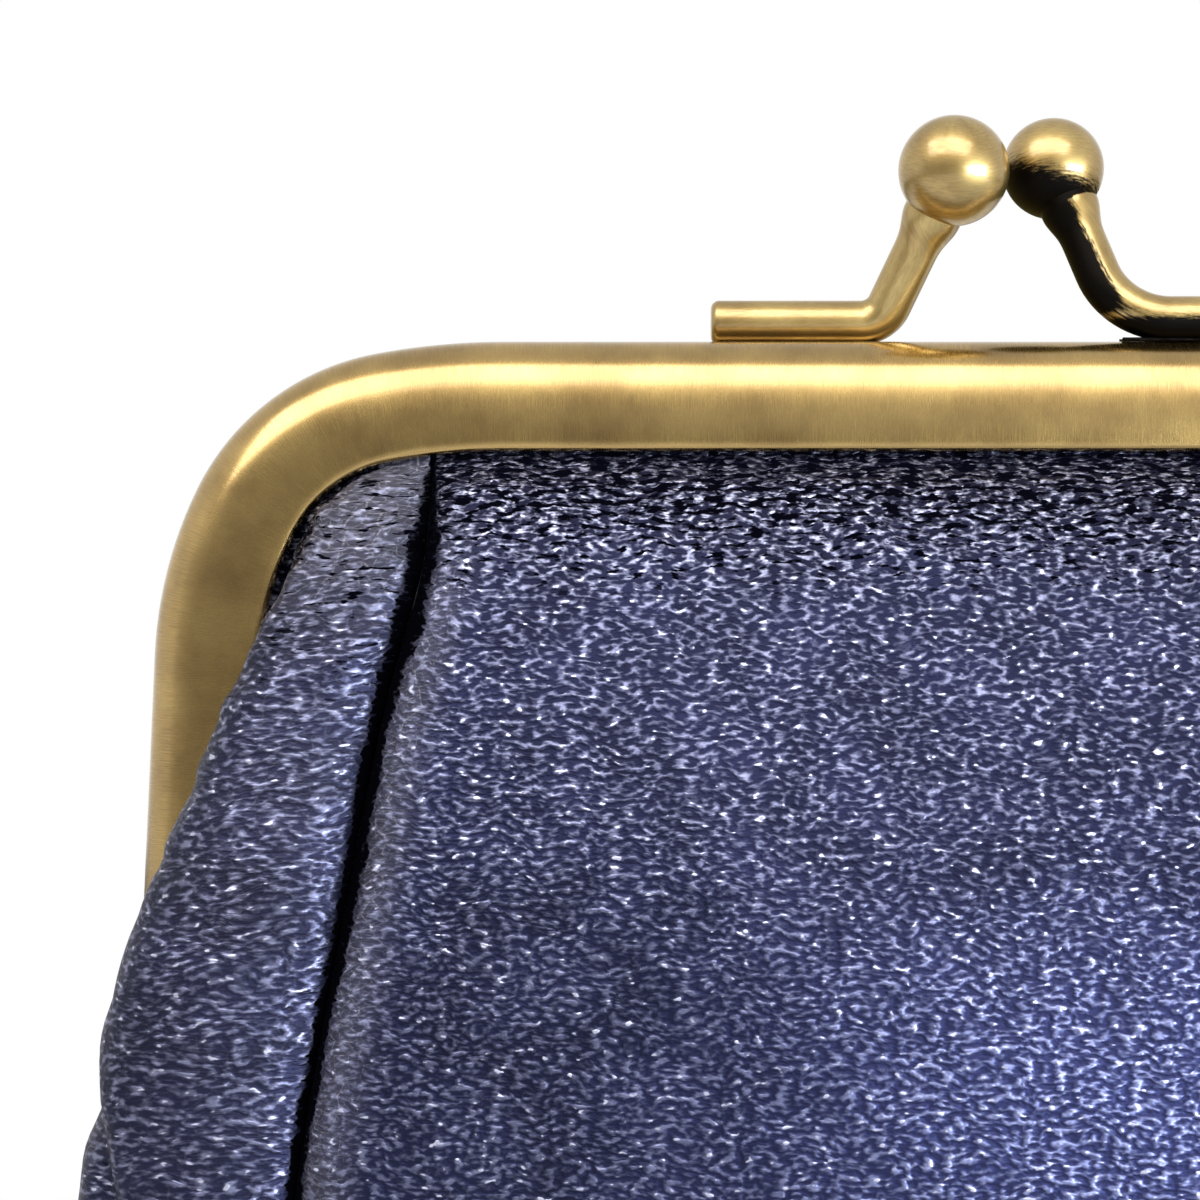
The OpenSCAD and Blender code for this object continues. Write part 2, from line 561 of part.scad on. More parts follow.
// A closed skin from a grid of points on its outer face, rows downward and columns to +X.
// The columns left of fold are split into triangles the other way, which keeps a piece whose
// rows are mirrored the same on both sides.
function grid_normal(g, r, c) =
  let (rows = len(g) - 1, cols = len(g[0]) - 1,
    down = g[min(rows, r + 1)][c] - g[max(0, r - 1)][c],
    along = g[r][min(cols, c + 1)] - g[r][max(0, c - 1)],
    n = cross(down, along))
  n / norm(n);
module skin(g, thick, fold = 0) {
  rows = len(g);
  cols = len(g[0]);
  outer = [for (r = [0 : rows - 1]) for (c = [0 : cols - 1]) g[r][c]];
  inner = [for (r = [0 : rows - 1]) for (c = [0 : cols - 1])
    g[r][c] - thick * grid_normal(g, r, c)];
  n = rows * cols;
  function at(r, c) = r * cols + c;
  function split(q, other) = other
    ? [[q[0], q[1], q[3]], [q[1], q[2], q[3]]]
    : [[q[0], q[1], q[2]], [q[0], q[2], q[3]]];
  // The four edges in one loop, clockwise as the outer face is seen
  rim = concat([for (c = [0 : cols - 2]) at(0, c)], [for (r = [0 : rows - 2]) at(r, cols - 1)],
    [for (c = [cols - 1 : -1 : 1]) at(rows - 1, c)], [for (r = [rows - 1 : -1 : 1]) at(r, 0)]);
  faces = concat(
    [for (r = [0 : rows - 2]) for (c = [0 : cols - 2]) for (t =
      split([at(r, c), at(r, c + 1), at(r + 1, c + 1), at(r + 1, c)], c < fold)) each
      [t, [n + t[2], n + t[1], n + t[0]]]],
    [for (i = [0 : len(rim) - 1]) let (a = rim[i], b = rim[(i + 1) % len(rim)]) each
      [[a, n + a, n + b], [a, n + b, b]]]);
  polyhedron(points = concat(outer, inner), faces = faces);
}

// The leather: two panels and four side pieces, sewn along the creases
module pouch_panel() {
  half = wall_rows([for (d = LEVELS) panel_points(d)], 8);
  color(navy) skin([for (row = half) mirrored_row(row)], leather_t, len(half[0]) - 1);
}
module pouch_side() {
  rows = [for (i = [1 : len(LEVELS) - 1]) side_points(LEVELS[i])];
  color(navy) skin(wall_rows(concat([mouth_row(rows[0])], rows), 0), leather_t);
}
module front_panel() { pouch_panel(); }
module rear_panel() { mirror([0, 1, 0]) pouch_panel(); }
module front_right_side() { pouch_side(); }
module front_left_side() { mirror([1, 0, 0]) pouch_side(); }
module rear_right_side() { mirror([0, 1, 0]) pouch_side(); }
module rear_left_side() { mirror([0, 1, 0]) mirror([1, 0, 0]) pouch_side(); }

// The lining: one piece a half, seamed to the other at the sides and along the bottom
board_slack = 0.3;
lining_low = base_t + board_t + board_slack;
lining_sweep = 80;
lining_flat = 0.96;
module lining() {
  rows = [for (t = [0.02, 0.05, 0.10, 0.18, 0.30, 0.41, 0.51, 0.59, 0.70, 0.85, 1])
    lining_points(mix(mouth_drop, turn_drop, t))];
  foot = rows[len(rows) - 1];
  turned = turned_under(foot, 3, -lining_inset, lining_low, lining_sweep);
  flat = [for (p = turned[2]) [lining_flat * p[0], -seam_gap / 2, lining_low]];
  color(lining_grey)
    skin([for (row = concat([tucked_up(rows[0], lining_y)], rows, turned, [flat]))
      mirrored_row(row)], lining_t, len(foot) - 1);
}
module front_lining() { lining(); }
module rear_lining() { mirror([0, 1, 0]) lining(); }

// The base: a leather panel with its edge turned up, and a board that keeps it flat
module base_shape(inset) {
  square([2 * base_half, 2 * (base_r - inset)], center = true);
  for (side = [-1, 1]) translate([side * base_half, 0]) circle(base_r - inset);
}
module base_panel() {
  color(navy) difference() {
    linear_extrude(base_rim_h) base_shape(0);
    translate([0, 0, base_t]) linear_extrude(base_rim_h) base_shape(leather_t);
  }
}
module base_board() {
  color(paper_tan) translate([0, 0, base_t])
    linear_extrude(board_t) base_shape(leather_t + board_clear);
}

front_frame();
rear_frame();
front_left_hinge_tab();
front_right_hinge_tab();
rear_left_hinge_tab();
rear_right_hinge_tab();
left_hinge_rivet();
right_hinge_rivet();
left_hinge_washer();
right_hinge_washer();
front_clasp_wire();
front_clasp_ball();
rear_clasp_wire();
rear_clasp_ball();
front_paper_cord();
rear_paper_cord();
front_panel();
rear_panel();
front_left_side();
front_right_side();
rear_left_side();
rear_right_side();
base_panel();
base_board();
front_lining();
rear_lining();
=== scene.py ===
"""Looks of the kiss lock frame purse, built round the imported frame.

The frame halves, the clasp and the leather follow the same lines as the CAD part, drawn finer.
Sizes are in millimetres until a mesh is made. -Y is the front, +X the right, +Z up.
"""
import json
import math
from functools import partialmethod

import bpy
import numpy as np
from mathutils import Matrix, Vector

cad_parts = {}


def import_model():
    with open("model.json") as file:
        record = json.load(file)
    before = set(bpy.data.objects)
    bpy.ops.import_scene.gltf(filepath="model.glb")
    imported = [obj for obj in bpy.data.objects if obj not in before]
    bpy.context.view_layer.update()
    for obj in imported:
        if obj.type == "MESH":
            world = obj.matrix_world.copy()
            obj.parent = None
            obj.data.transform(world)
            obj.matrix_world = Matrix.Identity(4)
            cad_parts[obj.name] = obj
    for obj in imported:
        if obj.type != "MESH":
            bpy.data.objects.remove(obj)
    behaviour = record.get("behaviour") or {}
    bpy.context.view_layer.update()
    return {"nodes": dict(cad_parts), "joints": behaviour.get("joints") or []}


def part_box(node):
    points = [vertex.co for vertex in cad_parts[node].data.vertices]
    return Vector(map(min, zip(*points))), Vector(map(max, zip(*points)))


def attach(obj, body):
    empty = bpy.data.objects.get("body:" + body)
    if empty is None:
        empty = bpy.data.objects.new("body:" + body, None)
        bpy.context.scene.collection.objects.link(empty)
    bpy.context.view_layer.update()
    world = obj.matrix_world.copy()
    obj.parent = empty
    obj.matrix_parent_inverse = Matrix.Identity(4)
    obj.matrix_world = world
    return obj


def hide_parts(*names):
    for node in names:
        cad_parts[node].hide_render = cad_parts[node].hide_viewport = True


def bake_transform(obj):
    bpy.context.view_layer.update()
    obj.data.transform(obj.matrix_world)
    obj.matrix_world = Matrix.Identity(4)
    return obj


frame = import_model()
MM = 0.001


def cad_box(node):
    """Lowest and highest corner of a CAD node, in millimetres."""
    low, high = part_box(node)
    return np.array(low) / MM, np.array(high) / MM


# Sizes of the frame halves
REAR_LOW, REAR_HIGH = cad_box("rear_frame")
FRAME_W = REAR_HIGH[0] - REAR_LOW[0]
FRAME_TOP = REAR_HIGH[2]
HALF_GAP = 2 * REAR_LOW[1]
HALF_DEPTH = REAR_HIGH[1] - REAR_LOW[1]
HINGE_Z = frame["joints"][0]["pos_m"][2] / MM
HINGE_DROP = FRAME_TOP - HINGE_Z
CHANNEL_END = FRAME_TOP - REAR_LOW[2]
FACE_H = 8.5
BACK_H = 7.0
SHEET_T = 0.95
LEG_FLARE = 2.5
BENDS = [(53.0, 10.7), (18.8, 53.4), (31.8, 90 - LEG_FLARE - 10.7 - 53.4)]
SHOULDER_R = 4.2
CROWN_R = 16.0
CROWN_LINE = 7.0
BACK_EDGE_R = 1.0

# Sizes of the clasp
LEFT_BALL_D = 8.35
RIGHT_BALL_D = 7.75
BALL_PASS = 0.1
BALL_CROSS = 2.5
WIRE_D = 3.4
BRAZE_T = 0.02
FOOT_END = 22.2
NECK_D = 4.5
NECK_L = 3.2

# Sizes of the pouch and its lining
POUCH_DEPTH = 48.0
SIDE_SWELL = 3.4
LEATHER_T = 1.0
LINING_T = 0.5
LINING_INSET = 4.0
TUCK = 3.2
SLIP = 0.15
SEAM_ROLL = 2.2
SEAM_GAP = 0.06
SEWN_GAP = 0.04
CORD_D = 2.0
CORD_INSET = 5.0
BASE_R = 15.2
BASE_HALF = 43.0
BASE_T = 1.2
BASE_RIM_H = 3.2
BASE_EDGE_R = 0.9
TURN_H = 7.0
BOARD_T = 1.5
MOUTH_Y = HALF_GAP / 2 + HALF_DEPTH - SHEET_T - SLIP
LINING_Y = HALF_GAP / 2 + SHEET_T + SLIP + LINING_T


def sind(a):
    return math.sin(math.radians(a))


def cosd(a):
    return math.cos(math.radians(a))


def mix(a, b, u):
    return a + (b - a) * u


def ease(u):
    c = np.clip(u, 0, 1)
    return c * c * (3 - 2 * c)


def rise(value, start, end):
    """0 at the start, 1 at the end, eased between them; the start may be the larger."""
    return ease((value - start) / (end - start))


def at(place, table):
    """Values at places of a table of (place, value) rows, with straight lines between them."""
    return np.interp(place, *zip(*table))


# ---------- the line of the frame ----------


class FrameLine:
    """The outer edge of a frame half, from the middle of the top bar down to a leg's end."""

    BAR_STEPS = 12
    BEND_STEPS = (16, 36, 12)
    LEG_STEPS = 12

    def __init__(self):
        bends_x, bends_drop, heading = 0, 0, 0
        for radius, turn in BENDS:
            bends_x += radius * (sind(heading + turn) - sind(heading))
            bends_drop += radius * (cosd(heading) - cosd(heading + turn))
            heading += turn
        self.leg = (CHANNEL_END - bends_drop) / cosd(LEG_FLARE)
        self.top_half = FRAME_W / 2 - bends_x - self.leg * sind(LEG_FLARE)
        self.bends = []
        x, drop, heading = self.top_half, 0, 0
        for radius, turn in BENDS:
            centre = (x - radius * sind(heading), drop + radius * cosd(heading))
            self.bends.append((centre, radius, heading, heading + turn))
            heading += turn
            x, drop = centre[0] + radius * sind(heading), centre[1] - radius * cosd(heading)
        self.leg_start = (x, drop)

    def on_bend(self, i, heading, inset):
        """Distance from the middle and drop of the inset line on a bend."""
        centre, radius, _, _ = self.bends[i]
        return (centre[0] + (radius - inset) * sind(heading),
                centre[1] - (radius - inset) * cosd(heading))

    def place(self, inset, drop):
        """Distance from the middle and heading where the inset line reaches a drop."""
        for i, (centre, radius, start, end) in enumerate(self.bends):
            if drop <= self.on_bend(i, start, inset)[1]:
                return self.on_bend(i, start, inset)[0], start
            if drop < self.on_bend(i, end, inset)[1]:
                cosine = (centre[1] - drop) / (radius - inset)
                heading = math.degrees(math.acos(np.clip(cosine, -1, 1)))
                return self.on_bend(i, heading, inset)[0], heading
        last = self.on_bend(2, 90 - LEG_FLARE, inset)
        return last[0] + (drop - last[1]) * math.tan(math.radians(LEG_FLARE)), 90 - LEG_FLARE

    def drop(self, inset, x):
        """Drop of the inset line at a distance from the middle, as far as the corner."""
        if x <= self.top_half:
            return inset
        i = 1 if x > self.on_bend(1, self.bends[1][2], inset)[0] else 0
        centre, radius, _, _ = self.bends[i]
        return centre[1] - math.sqrt(max(0, (radius - inset) ** 2 - (x - centre[0]) ** 2))

    def stations(self, leg_short=0.0):
        """[x, height, heading] along the whole line, from the left leg to the right one."""
        arm = [(self.top_half * s, FRAME_TOP, 0) for s in np.linspace(0, 1, self.BAR_STEPS + 1)]
        for i, steps in enumerate(self.BEND_STEPS):
            _, _, start, end = self.bends[i]
            for k in range(1, steps + 1):
                heading = mix(start, end, k / steps)
                x, drop = self.on_bend(i, heading, 0)
                arm.append((x, FRAME_TOP - drop, heading))
        length = self.leg - leg_short
        for k in range(1, self.LEG_STEPS + 1):
            run = length * k / self.LEG_STEPS
            arm.append((self.leg_start[0] + run * sind(LEG_FLARE),
                        FRAME_TOP - self.leg_start[1] - run * cosd(LEG_FLARE), 90 - LEG_FLARE))
        return [(-x, z, -a) for x, z, a in reversed(arm[1:])] + arm


LINE = FrameLine()


def quarter(steps):
    """Angles from 0 to 90."""
    return np.linspace(0, 90, steps + 1)


def arc(centre, r, start, end, steps):
    return [(centre[0] + r * cosd(a), centre[1] + r * sind(a))
            for a in np.linspace(start, end, steps + 1)]


def channel_section():
    """The folded sheet's section as (minus inset, depth) points, with rounded lips."""
    crown = (-CROWN_LINE, HALF_DEPTH - CROWN_R)
    meets = math.degrees(math.asin((CROWN_LINE - SHOULDER_R) / (CROWN_R - SHOULDER_R)))
    shoulder = (crown[0] + (CROWN_R - SHOULDER_R) * sind(meets),
                crown[1] + (CROWN_R - SHOULDER_R) * cosd(meets))
    end = math.degrees(math.asin((FACE_H - CROWN_LINE - SHEET_T / 2) / CROWN_R))

    def skin(inset, steps):
        return (arc(crown, CROWN_R - inset, 90 + end, 90 - meets, steps[0])
                + arc(shoulder, SHOULDER_R - inset, 90 - meets, 0, steps[1])[1:]
                + arc((-BACK_EDGE_R, BACK_EDGE_R), max(0.05, BACK_EDGE_R - inset), 0, -90,
                      steps[2]))

    outer = skin(0, (10, 16, 6))
    inner = skin(SHEET_T, (5, 8, 2))
    lip_r = SHEET_T / 2
    lip_centre = (crown[0] - (CROWN_R - lip_r) * sind(end),
                  crown[1] + (CROWN_R - lip_r) * cosd(end))
    lip = arc(lip_centre, lip_r, 90 + end, 270 + end, 8)[1:-1]
    back = arc((-BACK_H + lip_r, lip_r), lip_r, 90, 270, 6)
    loop = outer + back[::-1] + inner[::-1] + lip[::-1]
    return [(x, y + HALF_GAP / 2) for x, y in loop]


# ---------- mesh helpers ----------


def mesh_object(name, points_mm, faces, uvs=None):
    """A smooth-shaded object from points in millimetres; uvs has one (u, v) for each point."""
    mesh = bpy.data.meshes.new(name)
    mesh.from_pydata((np.asarray(points_mm) * MM).tolist(), [], faces)
    mesh.validate()
    if uvs is not None:
        layer = mesh.uv_layers.new(name="UVMap")
        corner_points = np.empty(len(mesh.loops), np.int32)
        mesh.loops.foreach_get("vertex_index", corner_points)
        layer.data.foreach_set("uv", np.asarray(uvs, np.float32)[corner_points].ravel())
    mesh.polygons.foreach_set("use_smooth", [True] * len(mesh.polygons))
    piece = bpy.data.objects.new(name, mesh)
    bpy.context.scene.collection.objects.link(piece)
    return piece


def joined(parts):
    """(points, faces, uvs) of several parts as one."""
    points, faces, uvs, start = [], [], [], 0
    for p, f, u in parts:
        points.append(np.asarray(p, float))
        faces += [tuple(start + i for i in face) for face in f]
        uvs.append(np.asarray(u, float))
        start += len(p)
    return np.concatenate(points), faces, np.concatenate(uvs)


def loft(loops, closed_ends=True):
    """Points, faces and uvs (in centimetres) of a row of loops with equal numbers of points."""
    grid = np.asarray(loops, float)
    rows, n = grid.shape[:2]
    around = np.linalg.norm(np.diff(np.concatenate([grid, grid[:, :1]], 1), axis=1), axis=2)
    v = np.concatenate([np.zeros((rows, 1)), np.cumsum(around, 1)[:, :-1]], 1)
    run = np.linalg.norm(np.diff(grid.mean(1), axis=0), axis=1)
    u = np.repeat(np.concatenate([[0], np.cumsum(run)])[:, None], n, 1)
    faces = [(k * n + i, k * n + (i + 1) % n, (k + 1) * n + (i + 1) % n, (k + 1) * n + i)
             for k in range(rows - 1) for i in range(n)]
    if closed_ends:
        faces.append(tuple(reversed(range(n))))
        faces.append(tuple((rows - 1) * n + i for i in range(n)))
    return grid.reshape(-1, 3), faces, np.stack([u, v], -1).reshape(-1, 2) / 10


def stood(section, station):
    """A (minus inset, depth) section as a loop at a station of the line."""
    x, z, a = station[:3]
    return [(x + p * sind(a), y, z + p * cosd(a)) for p, y in section]


def dress(piece, material):
    """Gives a piece one material in place of what it had."""
    piece.data.materials.clear()
    piece.data.materials.append(material)


def finish_piece(piece, body, nodes, material):
    """Dresses a piece, sets it on its body and hides the solids that it stands for."""
    dress(piece, material)
    if body:
        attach(piece, body)
    if nodes:
        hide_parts(*nodes)
    return piece


def point_values(piece, name, kind, values):
    """Stores one number or vector for each point of a piece, for its material."""
    layer = piece.data.attributes.new(name, kind, "POINT")
    field = "vector" if kind == "FLOAT_VECTOR" else "value"
    layer.data.foreach_set(field, np.asarray(values, np.float32).ravel())


def turned(faces):
    return [tuple(reversed(f)) for f in faces]


def on_half(side, points, faces):
    """A mesh made for the rear half, mirrored for the front one."""
    if side == "rear":
        return points, faces
    return np.asarray(points) * (1, -1, 1), turned(faces)


# ---------- shader groups ----------


class Nodes:
    """Short ways to add and join the nodes of one tree."""

    def __init__(self, tree):
        self.tree = tree

    def feed(self, node, inputs):
        """Sets a node's sockets from {socket: number, vector, colour or another socket}."""
        for key, value in inputs.items():
            socket = node.inputs[key]
            if isinstance(value, bpy.types.NodeSocket):
                self.tree.links.new(value, socket)
            else:
                socket.default_value = (*value, 1) if socket.type == "RGBA" else value
        return node

    def add(self, kind, inputs=(), **settings):
        """A node with its settings, and its sockets fed."""
        node = self.tree.nodes.new(kind)
        for key, value in settings.items():
            setattr(node, key, value)
        return self.feed(node, dict(inputs))

    def maths(self, operation, a, b):
        return self.add("ShaderNodeMath", {0: a, 1: b}, operation=operation).outputs[0]

    plus = partialmethod(maths, "ADD")
    minus = partialmethod(maths, "SUBTRACT")
    times = partialmethod(maths, "MULTIPLY")
    larger = partialmethod(maths, "MAXIMUM")

    def vectors(self, operation, inputs, output=0):
        return self.add("ShaderNodeVectorMath", inputs, operation=operation).outputs[output]

    def ramp(self, source, stops, interpolation="LINEAR"):
        """A colour ramp with {position: colour} stops; a plain number is a grey."""
        node = self.add("ShaderNodeValToRGB", {"Fac": source})
        node.color_ramp.interpolation = interpolation
        elements = node.color_ramp.elements
        while len(elements) < len(stops):
            elements.new(0.5)
        for element, (position, colour) in zip(elements, stops.items()):
            element.position = position
            element.color = (*(colour if isinstance(colour, tuple) else (colour,) * 3), 1)
        return node.outputs["Color"]

    def mixed(self, factor, a, b, blend="MIX"):
        """Two colours mixed; a factor or colour may be a value or a socket."""
        return self.add("ShaderNodeMix", {0: factor, 6: a, 7: b}, data_type="RGBA",
                        blend_type=blend).outputs[2]

    def noise(self, place, scale=1.0, detail=2.0, roughness=0.5, dimensions="2D"):
        """The outputs of a noise texture."""
        inputs = {"Vector": place, "Scale": scale, "Detail": detail, "Roughness": roughness}
        return self.add("ShaderNodeTexNoise", inputs, noise_dimensions=dimensions).outputs

    def bump(self, height, depth, strength=1.0):
        """The normal of a bumpy surface, its depth in metres."""
        inputs = {"Height": height, "Distance": depth, "Strength": strength}
        return self.add("ShaderNodeBump", inputs).outputs["Normal"]


def node_group(name, inputs, outputs):
    """An empty shader group: its Nodes, its inputs by name and its output node."""
    group = bpy.data.node_groups.new(name, "ShaderNodeTree")
    for socket in ("Vector", *inputs):
        kind = "NodeSocketVector" if socket == "Vector" else "NodeSocketFloat"
        group.interface.new_socket(socket, in_out="INPUT", socket_type=kind)
    for socket in outputs:
        group.interface.new_socket(socket, in_out="OUTPUT", socket_type="NodeSocketFloat")
    n = Nodes(group)
    return n, n.add("NodeGroupInput").outputs, n.add("NodeGroupOutput")


# Crinkles of the foil per centimetre, across and down the leather
PEBBLES = (13.0, 25.0)
FINE_PEBBLES = (27.0, 48.0)
SPARKS = (11.0, 20.0)
FOLDS = (7.0, 21.0)
LARGE_CRACKS = (5.5, 8.5)
SMALL_CRACKS = (13.0, 19.0)


def crackle_group():
    """Foil on crinkled leather: masks of flakes with painted glints, sparks of painted glints,
    painted shade in folds, worn lines and patches.
    """
    n, given, result = node_group("foil_crackle", ["Wrinkle", "Worn"],
                                  ["GlintFlake", "Spark", "Fold", "Web", "Patch", "Height"])
    place, wrinkle, worn = given["Vector"], given["Wrinkle"], given["Worn"]
    wobble = n.vectors("SUBTRACT", {0: n.noise(place, 2.4)["Color"], 1: (0.5, 0.5, 0.5)})
    wobble = n.vectors("SCALE", {0: wobble, "Scale": 0.10})
    bent = n.vectors("ADD", {0: place, 1: wobble})

    def counted(per_cm):
        scale = {"Vector": bent, "Scale": (*per_cm, 1.0)}
        return n.add("ShaderNodeMapping", scale).outputs[0]

    def crinkles(per_cm, detail, roughness=0.5):
        return n.noise(counted(per_cm), 1.0, detail, roughness)["Fac"]

    def cracks(per_cm, width, strength):
        edge = n.add("ShaderNodeTexVoronoi", {"Vector": counted(per_cm), "Scale": 1.0},
                     voronoi_dimensions="2D", feature="DISTANCE_TO_EDGE").outputs["Distance"]
        return n.ramp(edge, {0.0: strength, width: 0.0}, "EASE")

    fine = crinkles(FINE_PEBBLES, 1.0)
    fine_share = n.plus(n.times(wrinkle, 0.15), 0.21)
    relief = n.mixed(fine_share, crinkles(PEBBLES, 0.7), fine)
    brightness = n.ramp(n.noise(bent, 6.0, 1.0)["Fac"], {0.35: 0.55, 0.65: 1.0})
    # Flakes: the foil's own flakes on the pebbles' tops, with painted glints there
    glint_flake = n.times(n.ramp(relief, {0.46: 0.0, 0.56: 0.3, 0.68: 1.0}), brightness)
    # Sparks: painted glints
    spark = n.ramp(n.times(crinkles(SPARKS, 1.0), relief), {0.42: 0.0, 0.48: 1.0})
    # Painted shade in folds, which open where the leather is wrinkled; elsewhere they are too
    # shallow to show
    shallow = n.times(n.minus(1.0, wrinkle), 0.22)
    depth = n.plus(crinkles(FOLDS, 2.0, 0.55), shallow)
    fold = n.times(n.ramp(depth, {0.45: 1.0, 0.515: 0.0}, "EASE"),
                   n.ramp(wrinkle, {0.10: 0.0, 0.30: 1.0}))
    lines = n.larger(cracks(LARGE_CRACKS, 0.05, 1.0), cracks(SMALL_CRACKS, 0.08, 0.6))
    web = n.times(lines, n.times(worn, n.ramp(fine, {0.40: 0.2, 0.60: 1.0})))
    height = n.plus(n.minus(relief, n.times(fold, 0.5)), n.times(web, 0.12))
    n.feed(result, {"GlintFlake": glint_flake, "Spark": spark, "Fold": fold, "Web": web,
                    "Patch": n.noise(bent, 1.3, 3.0, 0.55)["Fac"], "Height": height})
    return n.tree


def brushing_group():
    """Brush marks on a bar, so many per centimetre along and across it, and blotches of tone."""
    n, given, result = node_group("brush_marks", ["Along", "Across"],
                                  ["Streak", "Blotch", "Height"])
    stretch = n.add("ShaderNodeCombineXYZ", {0: given["Along"], 1: given["Across"]}).outputs[0]
    place = n.vectors("MULTIPLY", {0: given["Vector"], 1: stretch})
    marks = n.noise(place, 1.0, 5.0, 0.7)["Fac"]
    n.feed(result, {"Streak": n.ramp(marks, {0.25: 0.0, 0.75: 1.0}),
                    "Blotch": n.noise(given["Vector"], 1.6, 3.0, 0.6)["Fac"], "Height": marks})
    return n.tree


def weave_group():
    """Plain weave with a number of threads per centimetre: over and under threads and height."""
    n, given, result = node_group("plain_weave", ["Threads"], ["Thread", "Height"])
    place = n.vectors("MULTIPLY", {0: given["Vector"], 1: given["Threads"]})
    split = n.add("ShaderNodeSeparateXYZ", {0: place}).outputs
    warp, weft = (n.maths("SINE", n.times(split[i], math.pi), 0.0) for i in (0, 1))
    over = n.times(n.times(warp, weft), 0.5)
    ridge = n.larger(n.maths("ABSOLUTE", warp, 0.0), n.maths("ABSOLUTE", weft, 0.0))
    n.feed(result, {"Thread": n.plus(over, 0.5), "Height": n.plus(over, ridge)})
    return n.tree


CRACKLE = crackle_group()
BRUSHING = brushing_group()
WEAVE = weave_group()


# ---------- materials ----------

# Colours of the leather, its foil and what shows through it
WHITE = (1.0, 1.0, 1.0)
NAVY, LIGHT_NAVY = (0.009, 0.010, 0.028), (0.0145, 0.016, 0.045)
FOIL, LIGHT_FOIL = (0.118, 0.123, 0.205), (0.166, 0.174, 0.28)
# Painted sheen on a panel's filled middle
SHEEN_NAVY, SHEEN_FOIL = (0.026, 0.030, 0.090), (0.30, 0.33, 0.58)
# Painted shade on the navy and painted glints on the foil of wrinkled leather
WRINKLE_SHADE_NAVY, WRINKLE_GLINT_FOIL = (0.006, 0.006, 0.016), (0.64, 0.65, 0.86)
# Painted glints
SPARK_GLINT = (0.50, 0.50, 0.62)
WORN_FOIL = (0.110, 0.104, 0.122)
BARE_CRACK = (0.32, 0.31, 0.35)
# Painted shade in the folds and in the seam's crease
FOLD_SHADE = (0.003, 0.003, 0.008)
SEAM_SHADE = (0.002, 0.002, 0.004)

# Colours of the brass
BRUSH_SHADE = (0.64, 0.62, 0.57)
# Black of the braze's solder, also used for a painted dark reflection on the right clasp
BLACK_SOLDER_AND_REFLECTION = (0.007, 0.006, 0.005)
BRASS_EDGE = (0.75, 0.66, 0.48)


def new_material(name, place="UV"):
    """A material with its Nodes, its shader and the place of a texture on the piece."""
    material = bpy.data.materials.new(name)
    material.use_nodes = True
    n = Nodes(material.node_tree)
    shader = material.node_tree.nodes["Principled BSDF"]
    return material, n, shader, n.add("ShaderNodeTexCoord").outputs[place]


def leather_material():
    """Navy leather under a cracked lilac foil; the pieces' "shade_and_wear" holds the painted
    shade of the seam's crease, the wrinkle and the worn foil.

    Where the leather is wrinkled its navy gets painted shade and its foil painted glints. A
    wrinkle below 0 is a painted sheen: a panel's filled middle is drawn lighter."""
    material, n, shader, uv = new_material("metallic_leather")
    shade_and_wear = n.add("ShaderNodeAttribute", attribute_name="shade_and_wear").outputs["Vector"]
    crease, wrinkle, worn = n.add("ShaderNodeSeparateXYZ", {0: shade_and_wear}).outputs
    crackle = n.add("ShaderNodeGroup", {"Vector": uv, "Wrinkle": wrinkle, "Worn": worn},
                    node_tree=CRACKLE).outputs
    # Painted sheen: where the wrinkle is below 0, the navy and the foil are drawn lighter
    painted_sheen = n.times(wrinkle, -1.0)
    ground = n.ramp(crackle["Patch"], {0.35: NAVY, 0.65: LIGHT_NAVY})
    ground = n.mixed(painted_sheen, ground, SHEEN_NAVY)
    # Where the leather is wrinkled, painted shade darkens the navy and painted glints lighten the
    # foil
    ground = n.mixed(n.times(wrinkle, 0.7), ground, WRINKLE_SHADE_NAVY)
    foil = n.ramp(crackle["Patch"], {0.38: FOIL, 0.62: LIGHT_FOIL})
    foil = n.mixed(painted_sheen, foil, SHEEN_FOIL)
    foil = n.mixed(n.times(wrinkle, 0.6), foil, WRINKLE_GLINT_FOIL)
    # The painted shade in the seam's crease ends in a ragged edge, on the crinkles
    ragged = n.plus(crease, n.times(n.minus(crackle["Height"], 0.5), 1.6))
    seam = n.times(n.ramp(ragged, {0.35: 0.0, 0.70: 1.0}, "EASE"),
                   n.maths("GREATER_THAN", crease, 0.001))
    # The foil shows on the flakes: the foil's own flakes, and painted glints on the pebbles' tops
    colour = n.mixed(crackle["GlintFlake"], ground, foil)
    # Then painted glints of sparks, worn foil, bare cracks, and painted shade in folds and in the
    # seam
    for share, tone in ((crackle["Spark"], SPARK_GLINT), (n.times(worn, 0.6), WORN_FOIL),
                        (crackle["Web"], BARE_CRACK), (crackle["Fold"], FOLD_SHADE),
                        (seam, SEAM_SHADE)):
        colour = n.mixed(share, colour, tone)
    shade = n.larger(seam, crackle["Fold"])
    dull = n.larger(shade, n.times(worn, 0.5))
    n.feed(shader, {
        "Base Color": colour,
        "Metallic": n.mixed(shade, n.ramp(worn, {0.0: 0.92, 1.0: 0.60}), WHITE),
        "Roughness": n.mixed(dull, n.ramp(crackle["GlintFlake"], {0.0: 0.48, 1.0: 0.32}), WHITE),
        "Normal": n.bump(crackle["Height"], 0.00018)})
    return material


